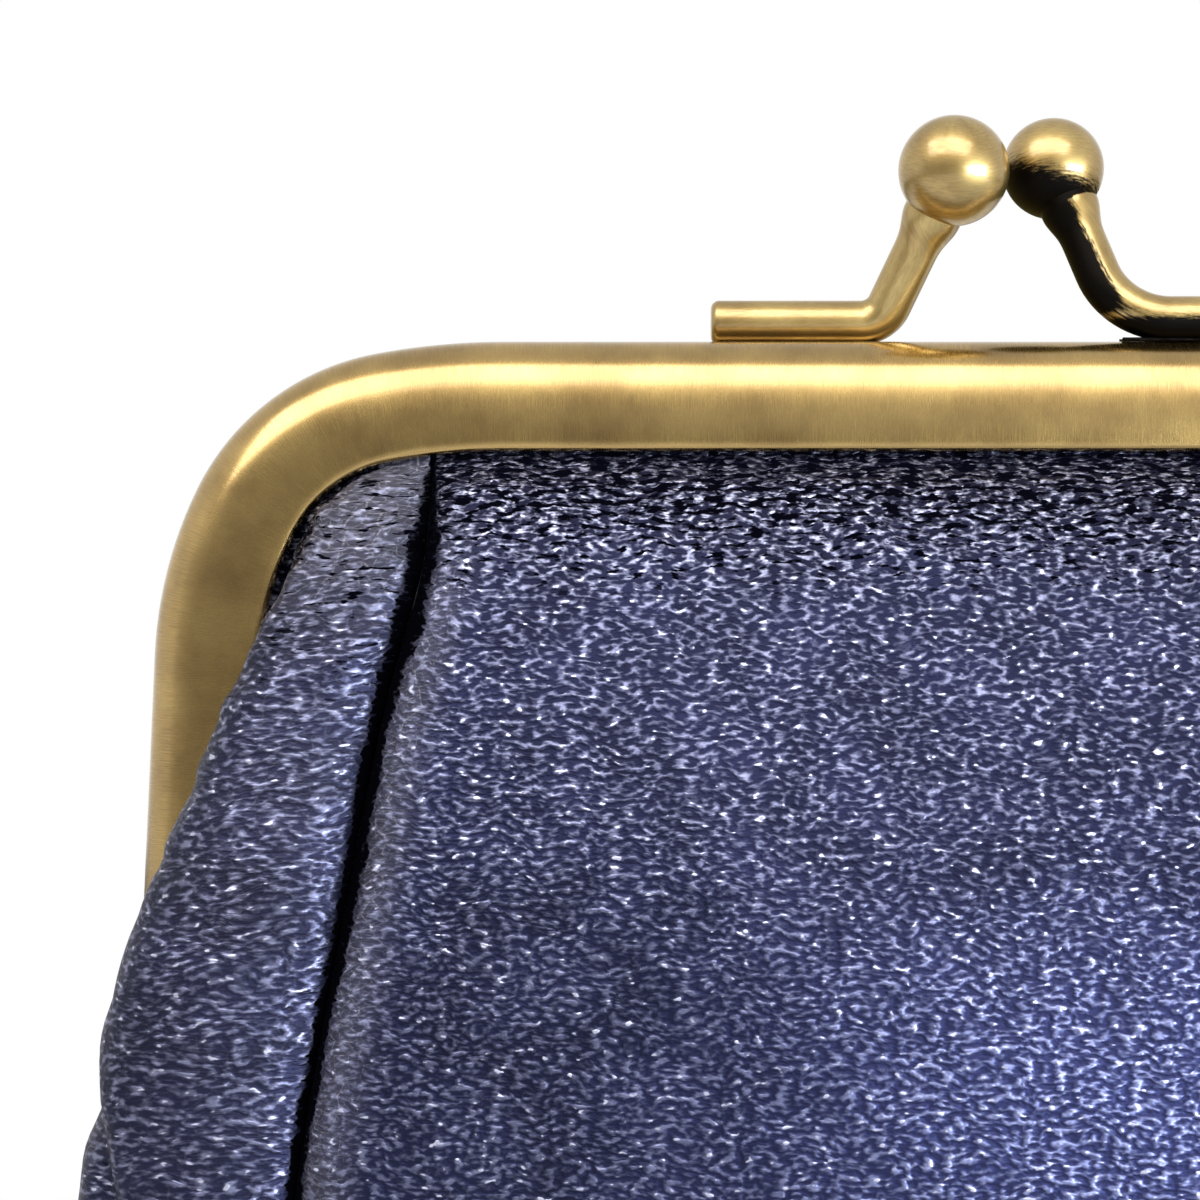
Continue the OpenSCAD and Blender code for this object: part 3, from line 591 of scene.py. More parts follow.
def brass_material(name, worn, bare, along, across, rough, solder_and_dark_reflection=False):
    """Brushed antique brass from its worn to its bare tone, with brush marks per centimetre.

    With solder_and_dark_reflection, the pieces' "solder_and_dark_reflection" is 1 where the
    brass is painted black, for dark solder and for a painted dark reflection, 0 where it is bare."""
    material, n, shader, uv = new_material(name)
    marks = n.add("ShaderNodeGroup", {"Vector": uv, "Along": along, "Across": across},
                  node_tree=BRUSHING).outputs
    streak = marks["Streak"]
    colour = n.ramp(marks["Blotch"], {0.30: worn, 0.65: bare})
    colour = n.mixed(streak, colour, n.mixed(1.0, colour, BRUSH_SHADE, "MULTIPLY"))
    roughness = n.ramp(streak, {0.0: rough - 0.05, 1.0: rough + 0.11})
    n.feed(shader, {"Metallic": 1.0, "Specular Tint": BRASS_EDGE, "Coat Weight": 1.0,
                    "Coat Roughness": 0.16})
    if solder_and_dark_reflection:
        # Black for dark solder and for a painted dark reflection, on a ragged edge
        dark = n.add("ShaderNodeAttribute", attribute_name="solder_and_dark_reflection").outputs["Fac"]
        ragged = n.plus(dark, n.times(n.minus(streak, 0.5), 0.30))
        black = n.ramp(ragged, {0.40: 0.0, 0.66: 1.0}, "EASE")
        colour = n.mixed(black, colour, BLACK_SOLDER_AND_REFLECTION)
        roughness = n.mixed(n.times(black, 0.6), roughness, (0.6, 0.6, 0.6))
        n.feed(shader, {"Coat Weight": n.minus(1.0, black)})
    n.feed(shader, {"Base Color": colour, "Roughness": roughness,
                    "Normal": n.bump(marks["Height"], 0.00002, 0.12)})
    return material


def lining_material():
    """Dark blue-grey cotton with 22 threads per centimetre."""
    material, n, shader, uv = new_material("lining_cloth")
    weave = n.add("ShaderNodeGroup", {"Vector": uv, "Threads": 22.0}, node_tree=WEAVE).outputs
    thread = n.ramp(weave["Thread"], {0.0: (0.030, 0.031, 0.045), 1.0: (0.075, 0.078, 0.105)})
    n.feed(shader, {"Base Color": thread, "Roughness": 0.62, "Sheen Weight": 0.4,
                    "Normal": n.bump(weave["Height"], 0.00012, 0.6)})
    return material


def fibre_material(name, dark, light, per_metre):
    """Paper or board: fibres and a mottled tone."""
    material, n, shader, place = new_material(name, "Object")
    fibres = n.noise(place, per_metre, 6.0, 0.7, "3D")["Fac"]
    n.feed(shader, {"Base Color": n.ramp(fibres, {0.3: dark, 0.7: light}), "Roughness": 0.9,
                    "Normal": n.bump(fibres, 0.0001, 0.4)})
    return material


LEATHER = leather_material()
BRASS = brass_material("antique_brass", (0.38, 0.240, 0.072), (0.55, 0.368, 0.118),
                       110.0, 4.0, 0.22)
CLASP_BRASS = brass_material("clasp_brass", (0.38, 0.250, 0.080), (0.55, 0.395, 0.140),
                             10.0, 60.0, 0.36, solder_and_dark_reflection=True)
DARK_BRASS = brass_material("dark_brass", (0.14, 0.095, 0.045), (0.26, 0.185, 0.085),
                            20.0, 20.0, 0.36)
LINING = lining_material()
PAPER = fibre_material("paper_cord", (0.42, 0.31, 0.18), (0.66, 0.53, 0.35), 900.0)
BOARD = fibre_material("grey_board", (0.30, 0.28, 0.25), (0.48, 0.45, 0.40), 500.0)


# ---------- the brass frame ----------


def frame_half(side):
    """One frame half, swept along the line; the front half is the rear one mirrored."""
    section = channel_section()
    points, faces, uvs = loft([stood(section, s) for s in LINE.stations()])
    points, faces = on_half(side, points, faces)
    piece = mesh_object(f"{side}_frame_brass", points, faces, uvs)
    return finish_piece(piece, f"{side}_half", [f"{side}_frame"], BRASS)


for side in ("front", "rear"):
    frame_half(side)

for node in frame["nodes"]:
    if "hinge" in node:
        dress(frame["nodes"][node], DARK_BRASS)


# ---------- the clasp ----------

FOOT_Y = HALF_GAP / 2 + WIRE_D / 2 + 0.05
FOOT_Z = FRAME_TOP + WIRE_D / 2 + BRAZE_T
BALL_X = (LEFT_BALL_D + RIGHT_BALL_D) / 4 + BALL_PASS / 2
# The rounded end of a wire's foot: run from the end, and how much less than the wire's radius
FOOT_ROUND = [(0, 0.45), (0.12, 0.22), (0.38, 0.04), (0.6, 0)]
INTO_BALL = 1.0
NECK_REST = 0.3
BRAZE_W = 0.85


class Clasp:
    """A bent wire with its ball, in the rear's place on the right until it is mirrored."""

    def __init__(self, rise, knee, bend_r, ball_d):
        self.knee = knee
        self.bend_r = bend_r
        self.ball_d = ball_d
        up, lean_y = FRAME_TOP + rise - FOOT_Z, FOOT_Y + BALL_CROSS
        self.climb = math.hypot(up, lean_y)
        self.tilt = math.degrees(math.atan(lean_y / up))
        self.lean = math.degrees(math.atan((knee - BALL_X) / self.climb))
        self.length = math.hypot(knee - BALL_X, self.climb)

    def out(self, points):
        """From the wire's leaning plane to the part's own frame."""
        p = np.asarray(points, float)
        y = p[:, 1] * cosd(self.tilt) - p[:, 2] * sind(self.tilt)
        z = p[:, 1] * sind(self.tilt) + p[:, 2] * cosd(self.tilt)
        return np.stack([p[:, 0], y + FOOT_Y, z + FOOT_Z], 1)

    def wire(self, foot_steps=8, bend_steps=16, stem_steps=21, sides=40):
        """The wire from its foot round the bend and up the stem, which flares into a neck."""
        turn = 90 - self.lean
        cut = self.bend_r * math.tan(math.radians(turn / 2))
        r = WIRE_D / 2
        line = [(FOOT_END - run, 0, 180, r - less) for run, less in FOOT_ROUND]
        straight_x = FOOT_END - FOOT_ROUND[-1][0]
        straight = straight_x - (self.knee + cut)
        line += [(straight_x - straight * k / foot_steps, 0, 180, r)
                 for k in range(1, foot_steps)]
        for k in range(bend_steps + 1):
            a = turn * k / bend_steps
            line.append((self.knee + cut - self.bend_r * sind(a),
                         self.bend_r * (1 - cosd(a)), 180 + a, r))
        ball_foot = self.length - self.ball_d / 2
        for k in range(1, stem_steps + 1):
            run = mix(cut, ball_foot + INTO_BALL, k / stem_steps)
            flare = ease((run - (ball_foot + NECK_REST - NECK_L)) / NECK_L) ** 1.6
            line.append((self.knee - run * sind(self.lean), run * cosd(self.lean), 180 + turn,
                         mix(r, NECK_D / 2, flare)))
        points, faces, uvs = loft([
            [(x + p * sind(a), q, z + p * cosd(a))
             for p, q in arc((0, 0), radius, 0, 360, sides)[:-1]] for x, z, a, radius in line])
        return self.out(points), faces, uvs

    def ball(self, rings=36, sides=64):
        """The ball, with its poles on the stem's line."""
        centre = np.array([BALL_X, 0, self.climb])
        r = self.ball_d / 2
        points, faces, uvs = [], [], []
        for k in range(rings + 1):
            a = 180 * k / rings
            for i in range(sides):
                b = 360 * i / sides
                spot = np.array([sind(a) * cosd(b), sind(a) * sind(b), cosd(a)])
                points.append(centre + r * spot)
                uvs.append((r * math.radians(b) / 10, r * math.radians(a) / 10))
        for k in range(0, rings * sides, sides):
            for i in range(sides):
                j = (i + 1) % sides
                faces.append((k + i, k + sides + i, k + sides + j, k + j))
        return self.out(points), faces, np.array(uvs)

    def braze(self):
        """The thin, uneven fillet of braze on both sides of the wire's foot."""
        r = WIRE_D / 2
        parts = []
        for side in (1, -1):
            fillet = [(side * 0.1, -r - 0.01), (side * BRAZE_W, -r - 0.04),
                      (side * r * cosd(60), -r * sind(60))][::side]
            loops = []
            for x in np.linspace(self.knee + 0.3, FOOT_END - 0.7, 60):
                uneven = 1 + 0.06 * math.sin(2.1 * x) + 0.05 * math.sin(5.3 * x)
                loops.append([(x, FOOT_Y + y * uneven, FOOT_Z + z) for y, z in fillet])
            parts.append(loft(loops))
        return joined(parts)


LEFT_CLASP = Clasp(12.8, 9.2, 2.4, LEFT_BALL_D)
RIGHT_CLASP = Clasp(13.6, 8.3, 5.6, RIGHT_BALL_D)
# The right wire's middle line, as (height above the foot's middle, x)
RIGHT_AXIS = [(0, RIGHT_CLASP.knee + 2.6), (1.0, RIGHT_CLASP.knee + 0.8),
              (2.4, RIGHT_CLASP.knee - 0.2), (RIGHT_CLASP.climb, BALL_X)]


def right_dark_reflection(points):
    """1 where a painted dark reflection blackens the right clasp: below, and on its lower left
    side.
    """
    x, y, z = np.asarray(points).T
    centre = RIGHT_CLASP.out([(BALL_X, 0, RIGHT_CLASP.climb)])[0] * (1, -1, 1)
    r = RIGHT_BALL_D / 2
    on_ball = np.hypot(np.hypot(x - centre[0], y - centre[1]), z - centre[2]) < r + 0.3
    low = (centre[2] - z) / r - 0.30 * (x - centre[0]) / r
    height = z - FOOT_Z
    left = (at(height, RIGHT_AXIS) - x) / (WIRE_D / 2) * ease(height / 2.0)
    # The painted dark reflection fades higher up the wire
    fades_above = 0.25 * np.clip(height / RIGHT_CLASP.climb, 0, 1)
    wire = np.maximum(left - fades_above, 0.15 - height / (WIRE_D / 2))
    return np.clip(0.5 + 0.9 * np.where(on_ball, low - 0.12, wire - 0.05), 0, 1)


for half, clasp, mirror in (("rear", LEFT_CLASP, (-1, 1, 1)), ("front", RIGHT_CLASP, (1, -1, 1))):
    for what in ("wire", "ball", "braze"):
        points, faces, uvs = getattr(clasp, what)()
        points = points * mirror
        piece = mesh_object(f"{half}_clasp_{what}_brass", points, turned(faces), uvs)
        # The right clasp gets a painted dark reflection; the braze is dark solder all over
        black = right_dark_reflection(points) if half == "front" else np.zeros(len(points))
        if what == "braze":
            black = np.ones(len(points))
        point_values(piece, "solder_and_dark_reflection", "FLOAT", black)
        nodes = [] if what == "braze" else [f"{half}_clasp_{what}"]
        finish_piece(piece, f"{half}_half", nodes, CLASP_BRASS)


# ---------- the paper cords ----------

CORD_CLEAR = 3.5
CORD_STEP = 0.6
PLY_TURN = 5.0


def paper_cord(side):
    """A cord of two twisted plies in the channel, short of the hinge tabs' stems."""
    centre_y = (MOUTH_Y - LEATHER_T + LINING_Y) / 2
    stations = np.array(LINE.stations(CORD_CLEAR))
    steps = np.linalg.norm(np.diff(stations[:, :2], axis=0), axis=1)
    run = np.concatenate([[0], np.cumsum(steps)])
    ply_r = CORD_D / 4
    parts = []
    for ply in (0, 180):
        loops = []
        for s in np.arange(0, run[-1], CORD_STEP):
            twist = ply + 360 * s / PLY_TURN
            centre = (ply_r * cosd(twist) - CORD_INSET, centre_y + ply_r * sind(twist))
            ring = arc(centre, ply_r, 0, 360, 10)[:-1]
            loops.append(stood(ring, [np.interp(s, run, column) for column in stations.T]))
        parts.append(loft(loops))
    points, faces, uvs = joined(parts)
    points, faces = on_half(side, points, faces)
    piece = mesh_object(f"{side}_twisted_cord", points, faces, uvs)
    return finish_piece(piece, f"{side}_half", [f"{side}_paper_cord"], PAPER)


for side in ("front", "rear"):
    paper_cord(side)


# ---------- the pouch's surfaces ----------

# station, depth share, crown fall, crease depth, seam inset, side offset, side's depth share
LINES = np.array([
    [0.00, 0.00, 0.0, 0.3, 22.3, -23.8, 1.00],
    [0.03, 0.17, 0.3, 2.2, 22.4, -19.2, 0.84],
    [0.10, 0.37, 0.8, 3.1, 21.8, -15.9, 0.75],
    [0.22, 0.60, 1.6, 3.1, 19.2, -10.8, 0.65],
    [0.41, 0.84, 2.4, 2.5, 16.1, -4.1, 0.58],
    [0.62, 0.97, 3.0, 2.0, 13.2, -0.6, 0.54],
    [0.82, 1.00, 3.0, 1.6, 12.1, -0.1, 0.53],
    [1.00, 0.79, 2.4, 1.2, 14.9, -4.8, 0.56]])
# Points of a row: across a panel's flat, round the seam's roll, over a side piece's face and
# back into the channel, and across the lining's flat; and rows from the mouth to the turn
FLAT_POINTS = 60
ROLL_STEPS = 12
FACE_STEPS = 18
BACK_STEPS = 14
CREST_COLUMN = ROLL_STEPS + FACE_STEPS
LINING_POINTS = 24
LEATHER_ROWS = 110
LINING_ROWS = 60

MOUTH_CLEAR = 0.1
MOUTH_DROP = FACE_H + MOUTH_CLEAR
MOUTH_STEP = 0.05
TUCK_STEP = 0.3
TURN_DROP = FRAME_TOP - TURN_H
SEAM_BELOW_HINGE = 7.5
SIDE_SEAM_TOP = HINGE_DROP + SEAM_BELOW_HINGE
SAG_FADE = 8.0
# Depth of the valley between the front and rear side pieces, at the seam's top and foot
VALLEY = (6.5, 1.2)
# Lip, foot and end of the tuck as they are turned in at the side seam: (inward, forward)
SEAM_TURN = [(0, 0.9), (0.8, 0.1), (2.5, 0)]
LIP_FORWARD = 0.5
FOOT_CLEAR = 0.15
# A side piece's roll: its top between seam and crest, its way back to the lip, and its lip
ROLL_TOP = 0.4
ROLL_BACK = 1.8
LEAST_BACK = 0.6
BACK_BEND = 0.7
SIDE_LIP_IN = 0.9
# The lining's corner turns short of the frame's edge, of the panel's seam and of its own crest
LINING_EDGE = 2.6
LINING_OFF_SEAM = 2
LINING_CORNER = 3
LINING_FALL = 0.5
LINING_CORNER_STEPS = 10
LINING_LIP_IN = 0.6
LINING_SEAM_OUT = 0.4


def slopes():
    """Slope of each column at each line of the table."""
    last = len(LINES) - 1
    out = np.zeros_like(LINES)
    for i in range(last + 1):
        a, b = max(0, i - 1), min(last, i + 1)
        out[i] = (LINES[b] - LINES[a]) / (LINES[b][0] - LINES[a][0])
    return out


SLOPES = slopes()


def on_lines(drop):
    """All columns of the table at a drop, on smooth curves."""
    t = (drop - MOUTH_DROP) / (TURN_DROP - MOUTH_DROP)
    i = int(np.clip(np.searchsorted(LINES[:, 0], t, side="right") - 1, 0, len(LINES) - 2))
    w = LINES[i + 1][0] - LINES[i][0]
    u = (t - LINES[i][0]) / w
    return (LINES[i] * (1 + 2 * u) * (1 - u) ** 2 + LINES[i + 1] * u * u * (3 - 2 * u)
            + w * u * (1 - u) * (SLOPES[i] * (1 - u) - SLOPES[i + 1] * u))


class Level:
    """The pouch's cut at one drop below the frame's top."""

    def __init__(self, drop):
        _, depth, self.fall, self.crease, seam, side, self.side_share = on_lines(drop)
        self.drop = drop
        self.wall = mix(MOUTH_Y, POUCH_DEPTH / 2, depth)
        self.lining = mix(LINING_Y, POUCH_DEPTH / 2 - LINING_INSET, depth)
        self.seam_x = FRAME_W / 2 - seam
        self.side_x = FRAME_W / 2 + SIDE_SWELL + side

    def sag(self, x):
        """How far the level hangs below the bar at the corner, where the mouth follows it."""
        fade = max(0, 1 - (self.drop - MOUTH_DROP) / SAG_FADE)
        return (LINE.drop(FACE_H, x) - FACE_H) * fade if fade else 0

    def panel(self):
        """Half a panel's row, from its middle round the roll into the seam."""
        end = self.seam_x - SEWN_GAP / 2
        flat = end - SEAM_ROLL
        row = [(flat * s, -(self.wall - self.fall * (s * flat / end) ** 2))
               for s in np.linspace(0, 1, FLAT_POINTS)]
        y = row[-1][1]
        row += [(flat + SEAM_ROLL * sind(a), y + self.crease * (1 - cosd(a)))
                for a in quarter(ROLL_STEPS)[1:]]
        return [(x, y, FRAME_TOP - self.drop - self.sag(x)) for x, y in row]

    def row_end(self, drop, face_y, lip_in, seam_in):
        """Lip, foot and end of the tuck, in the channel or, below the hinge, at the side seam."""
        hang = rise(drop, CHANNEL_END, SIDE_SEAM_TOP)
        x, a = LINE.place(FACE_H, drop)
        low = max(drop, SIDE_SEAM_TOP)
        side_x = Level(low).side_x if low > drop else self.side_x
        valley = side_x - mix(*VALLEY, rise(low, SIDE_SEAM_TOP, TURN_DROP)) - seam_in
        z = FRAME_TOP - drop
        gripped = [(x - lip_in, -face_y - LIP_FORWARD, z), (x - FOOT_CLEAR, -face_y, z),
                   (x + TUCK * sind(a), -face_y, z + TUCK * cosd(a))]
        sewn = [(valley - inward, -SEAM_GAP / 2 - forward, z) for inward, forward in SEAM_TURN]
        return [mix(np.array(p), np.array(q), hang) for p, q in zip(gripped, sewn)]

    def side(self):
        """A side piece's row, from the seam over its crest and back to its tuck."""
        root = self.seam_x + SEWN_GAP / 2
        drop = self.drop + self.sag(root)
        z = FRAME_TOP - drop
        crest = (self.side_x, -self.wall * self.side_share, z)
        top = (mix(root, crest[0], ROLL_TOP), -(self.wall - self.fall), z)
        lip, foot, tuck = self.row_end(drop, MOUTH_Y, SIDE_LIP_IN, 0)
        back = max(lip[1] - ROLL_BACK, mix(lip[1], crest[1], LEAST_BACK))
        row = [(mix(root, top[0], 1 - cosd(a)), top[1] + self.crease * (1 - sind(a)), z)
               for a in quarter(ROLL_STEPS)[:-1]]
        row += [(mix(top[0], crest[0], sind(a)), mix(top[1], crest[1], 1 - cosd(a)), z)
                for a in quarter(FACE_STEPS)[:-1]]
        a, b, c, d = [np.array(p) for p in (crest, (crest[0], mix(crest[1], back, BACK_BEND), z),
                                            (lip[0], back, z), lip)]
        row += [a * (1 - u) ** 3 + 3 * b * u * (1 - u) ** 2 + 3 * c * u * u * (1 - u) + d * u ** 3
                for u in np.linspace(0, 1, BACK_STEPS + 1)[:-1]]
        return row + [lip, mix(lip, foot, 0.5), foot, mix(foot, tuck, 0.5), tuck]

    def lining_row(self):
        """Half a lining's row, from its middle to its tuck."""
        z = FRAME_TOP - self.drop
        hang = rise(self.drop, CHANNEL_END, SIDE_SEAM_TOP)
        depth = self.lining - self.fall
        crest = mix(LINE.place(FACE_H, self.drop)[0] - LINING_EDGE, self.side_x - LINING_INSET,
                    hang)
        flat = min(self.seam_x - LINING_OFF_SEAM, crest - LINING_CORNER)
        row = [(flat * s, -(self.lining - self.fall * s * s), z)
               for s in np.linspace(0, 1, LINING_POINTS)]
        row += [(mix(flat, crest, sind(a)), -depth * mix(LINING_FALL, 1, cosd(a)), z)
                for a in quarter(LINING_CORNER_STEPS)[1:]]
        return row + self.row_end(self.drop, LINING_Y, LINING_LIP_IN,
                                  LINING_INSET - LINING_SEAM_OUT)


# ---------- whole walls ----------


def base_line(row, start, grow, sweep=90):
    """The base's outline, grown, for the points of a row from the middle out."""
    last = len(row) - 1
    out = []
    for i in range(last + 1):
        if i <= start:
            share = row[i][0] / row[start][0] if start else 1
            out.append((BASE_HALF * share, -BASE_R - grow))
        else:
            a = sweep * (i - start) / (last - start)
            out.append((BASE_HALF + (BASE_R + grow) * sind(a),
                        min(-SEAM_GAP / 2, -(BASE_R + grow) * cosd(a))))
    return out


def turned_under(row, start, grow, low, steps, sweep=90):
    """Rows that curve from a row in under the pouch."""
    line = base_line(row, start, grow, sweep)
    return [[(mix(l[0], p[0], cosd(a)), mix(l[1], p[1], cosd(a)), mix(p[2], low, sind(a)))
             for l, p in zip(line, row)] for a in quarter(steps)[1:]]


def level_rows(row, start, steps):
    """Rows on the base's outline, from (grown by, height) steps."""
    return [[(x, y, z) for x, y in base_line(row, start, grow)] for grow, z in steps]


def mouth_row(row):
    """The row where the leather passes into the channel."""
    return [(p[0], -MOUTH_Y,
             max(p[2] + MOUTH_STEP, FRAME_TOP - LINE.drop(FACE_H, p[0]) - MOUTH_CLEAR))
            for p in row]


def tucked_up(row, depth):
    """The end of the leather or lining inside the channel."""
    return [(p[0], -depth, max(p[2] + TUCK_STEP, FRAME_TOP - LINE.drop(FACE_H - TUCK, p[0])))
            for p in row]


ABOVE_FLOOR = 0.1
# Where the walls turn under: the turn's foot, and then (grown by, height) steps up into the rim
UNDER_LOW = 0.35
UNDER_GROW = 1.9
UNDER_STEPS = 12
LEVEL_SPREAD = 1.35
RIM = [(1.3, 0.45), (0.6, 0.9), (SLIP, 1.9), (SLIP, BASE_RIM_H - 0.1)]


def levels(first, count):
    """Drops from the mouth to the turn, closer together at the mouth."""
    return [mix(MOUTH_DROP, TURN_DROP, mix(first, 1, (k / count) ** LEVEL_SPREAD))
            for k in range(count + 1)]


def wall(rows, start):
    """Rows with their tuck above, and turned under behind the base's rim below."""
    foot = rows[-1]
    return ([tucked_up(rows[0], MOUTH_Y)] + rows
            + turned_under(foot, start, UNDER_GROW, UNDER_LOW, UNDER_STEPS)
            + level_rows(foot, start, RIM))


def mirrored_rows(rows):
    """Whole rows from rows that start in the middle."""
    return [[(-x, y, z) for x, y, z in reversed(row[1:])] + list(row) for row in rows]


def normals_of(grid):
    """Outward directions of a grid's points."""
    down = np.gradient(grid, axis=0)
    along = np.gradient(grid, axis=1)
    n = np.cross(down, along)
    return n / np.maximum(np.linalg.norm(n, axis=2, keepdims=True), 1e-9)


def waves(seed, points, size, count=14):
    """Smooth uneven swelling between about -1 and 1, from a few crossing waves."""
    random = np.random.default_rng(seed)
    total = np.zeros(points.shape[:-1])
    for _ in range(count):
        direction = random.normal(size=3)
        direction *= 2 * math.pi / (size * random.uniform(0.7, 1.6)) / np.linalg.norm(direction)
        total += np.sin(points @ direction + random.uniform(0, 2 * math.pi))
    return total / math.sqrt(count)


def skin(grid, thick):
    """Points, faces and uvs (in centimetres) of a closed skin with the grid as its outer face."""
    rows, cols = grid.shape[:2]
    inner = grid - thick * normals_of(grid)
    inner[..., 2] = np.maximum(inner[..., 2], ABOVE_FLOOR)
    n = rows * cols
    faces = []
    for r in range(rows - 1):
        for c in range(cols - 1):
            quad = (r * cols + c, r * cols + c + 1, (r + 1) * cols + c + 1, (r + 1) * cols + c)
            faces += [quad[::-1], tuple(n + i for i in quad)]
    rim = ([c for c in range(cols - 1)] + [r * cols + cols - 1 for r in range(rows - 1)]
           + [(rows - 1) * cols + c for c in range(cols - 1, 0, -1)]
           + [r * cols for r in range(rows - 1, 0, -1)])
    for a, b in zip(rim, rim[1:] + rim[:1]):
        faces.append((a, b, n + b, n + a))
    across = np.concatenate([np.zeros((rows, 1)),
                             np.cumsum(np.linalg.norm(np.diff(grid, axis=1), axis=2), 1)], 1)
    across -= across[:, cols // 2:cols // 2 + 1]
    downs = np.linalg.norm(np.diff(grid, axis=0), axis=2)
    down = np.concatenate([np.zeros((1, cols)), np.cumsum(downs, 0)])
    down = np.repeat(down.mean(1)[:, None], cols, 1)
    uv = np.stack([across, -down], -1).reshape(-1, 2) / 10
    return np.concatenate([grid.reshape(-1, 3), inner.reshape(-1, 3)]), faces, np.tile(uv, (2, 1))


def soft_piece(name, grid, thick, mirror, material, nodes, shade_and_wear=None,
               grain=(1, 1)):
    """A wall of leather or lining, mirrored into its place."""
    points, faces, uvs = skin(grid, thick)
    if mirror[0] * mirror[1] < 0:
        faces = turned(faces)
    piece = mesh_object(name, points * np.array([*mirror, 1]), faces, uvs * grain)
    if shade_and_wear is not None:
        point_values(piece, "shade_and_wear", "FLOAT_VECTOR", np.tile(shade_and_wear.reshape(-1, 3), (2, 1)))
    finish_piece(piece, None, nodes, material)
    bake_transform(piece)
    return piece


def fade_at_edges(grid, rows_top, cols_side, rows_foot=14):
    """1 inside the grid, falling to 0 towards its edges."""
    rows, cols = grid.shape[:2]
    r = np.arange(rows)[:, None]
    c = np.arange(cols)[None, :]
    vertical = ease(r / rows_top) * ease((rows - 1 - r) / rows_foot)
    return vertical * ease(c / cols_side) * ease((cols - 1 - c) / cols_side)


# How the leather is worn and where shade is painted, as (drop, value): how far the seam's
# painted shade reaches from the seam, how wrinkled or worn the foil is, and the painted shade
# of a side piece's brim
SHADE_REACH = [(9, 0.0), (12, 0.2), (15, 0.8), (22, 0.9), (30, 0.5), (45, 0.3)]
PANEL_WRINKLE = [(9, 1.0), (12, 0.95), (15, 0.6), (20, 0.10), (90, 0.0)]
PANEL_WORN = [(12, 0), (20, 0.35)]
SIDE_WRINKLE = [(9, 0.55), (18, 0.35), (30, 0.15), (90, 0.10)]
SIDE_WORN = [(10, 0.65), (15, 0.5), (22, 0.10), (90, 0.0)]
TUCK_WRINKLE = [(20, 0.8), (45, 0.6), (55, 0.15)]
BRIM_SHADE = [(9, 0), (11, 0.7), (18, 0.7), (24, 0)]
BASE_FADE = (88, 96)

# The fold that runs down the side pieces, as (drop, x), and its depth
SIDE_FOLD = [(48.0, 68.6), (52.0, 67.8), (61.0, 66.3), (70.0, 64.5), (80.0, 63.2), (90.0, 61.5)]
SIDE_FOLD_W = 0.8
SIDE_FOLD_DEPTH = 1.0
SIDE_FOLD_STARTS, SIDE_FOLD_ENDS = (46, 54), (96, 86)
CRINKLES_END = (58, 18)
POCKET_END = (25, 17)

# Where a painted sheen lightens a panel's navy and foil: middle x, half width, fade at the sides
# and below
SHEEN_X, SHEEN_HALF, SHEEN_FADE = 8, 6, 42
SHEEN_DROP = (34, 56)
# How strong the painted sheen is on each panel
SHINE = {"front": 0.8, "rear": 0.35}
SIDE_GRAIN = (0.72, 0.95)

# The lining's bottom: its slack over the board, its sweep round the end and its share of x
BOARD_SLACK = 0.3
LINING_SWEEP = 80
LINING_FLAT = 0.96


def crease_shade(grid, seam_x):
    """1 where painted shade fills the seam's crease at a distance from the middle, wider high up
    on the pouch.
    """
    drop = FRAME_TOP - grid[..., 2]
    reach = at(drop, SHADE_REACH)
    away = np.abs(np.abs(grid[..., 0]) - seam_x) + 0.16 * waves(5, grid, 3.0)
    shade = 1 - ease((away - 0.75 * reach) / (0.5 + 0.6 * reach))
    return shade * (1 - rise(drop, *BASE_FADE))


def panel_grid(seed, shine):
    """A panel's wall and its shade_and_wear; shine is the strength of the painted sheen on its
    filled middle.
    """
    rows = [Level(d).panel() for d in levels(0, LEATHER_ROWS)]
    grid = np.array(mirrored_rows(wall(rows, FLAT_POINTS - 1)), float)
    swell = 0.22 * waves(seed, grid, 26) + 0.05 * waves(seed + 1, grid * (1, 1, 1.7), 7)
    drop = FRAME_TOP - grid[..., 2]
    seam_x = np.abs(grid[:, -1:, 0])
    away = np.abs(np.abs(grid[..., 0]) - seam_x)
    # Painted sheen on the filled middle, stored as a wrinkle below 0
    aside = np.abs(grid[..., 0] - SHEEN_X) - SHEEN_HALF
    painted_sheen = rise(drop, *SHEEN_DROP) * (1 - ease(aside / SHEEN_FADE))
    wrinkle = np.maximum(at(drop, PANEL_WRINKLE), 0.15 * (1 - ease(away / 5))) - shine * painted_sheen
    worn = (1 - ease((away - 1.5) / 3.5)) * at(drop, PANEL_WORN)
    shade_and_wear = np.stack([crease_shade(grid, seam_x), wrinkle, worn], -1)
    grid = grid + normals_of(grid) * (swell * fade_at_edges(grid, 10, 5))[..., None]
    grid[..., 2] = np.maximum(grid[..., 2], ABOVE_FLOOR)
    return grid, shade_and_wear


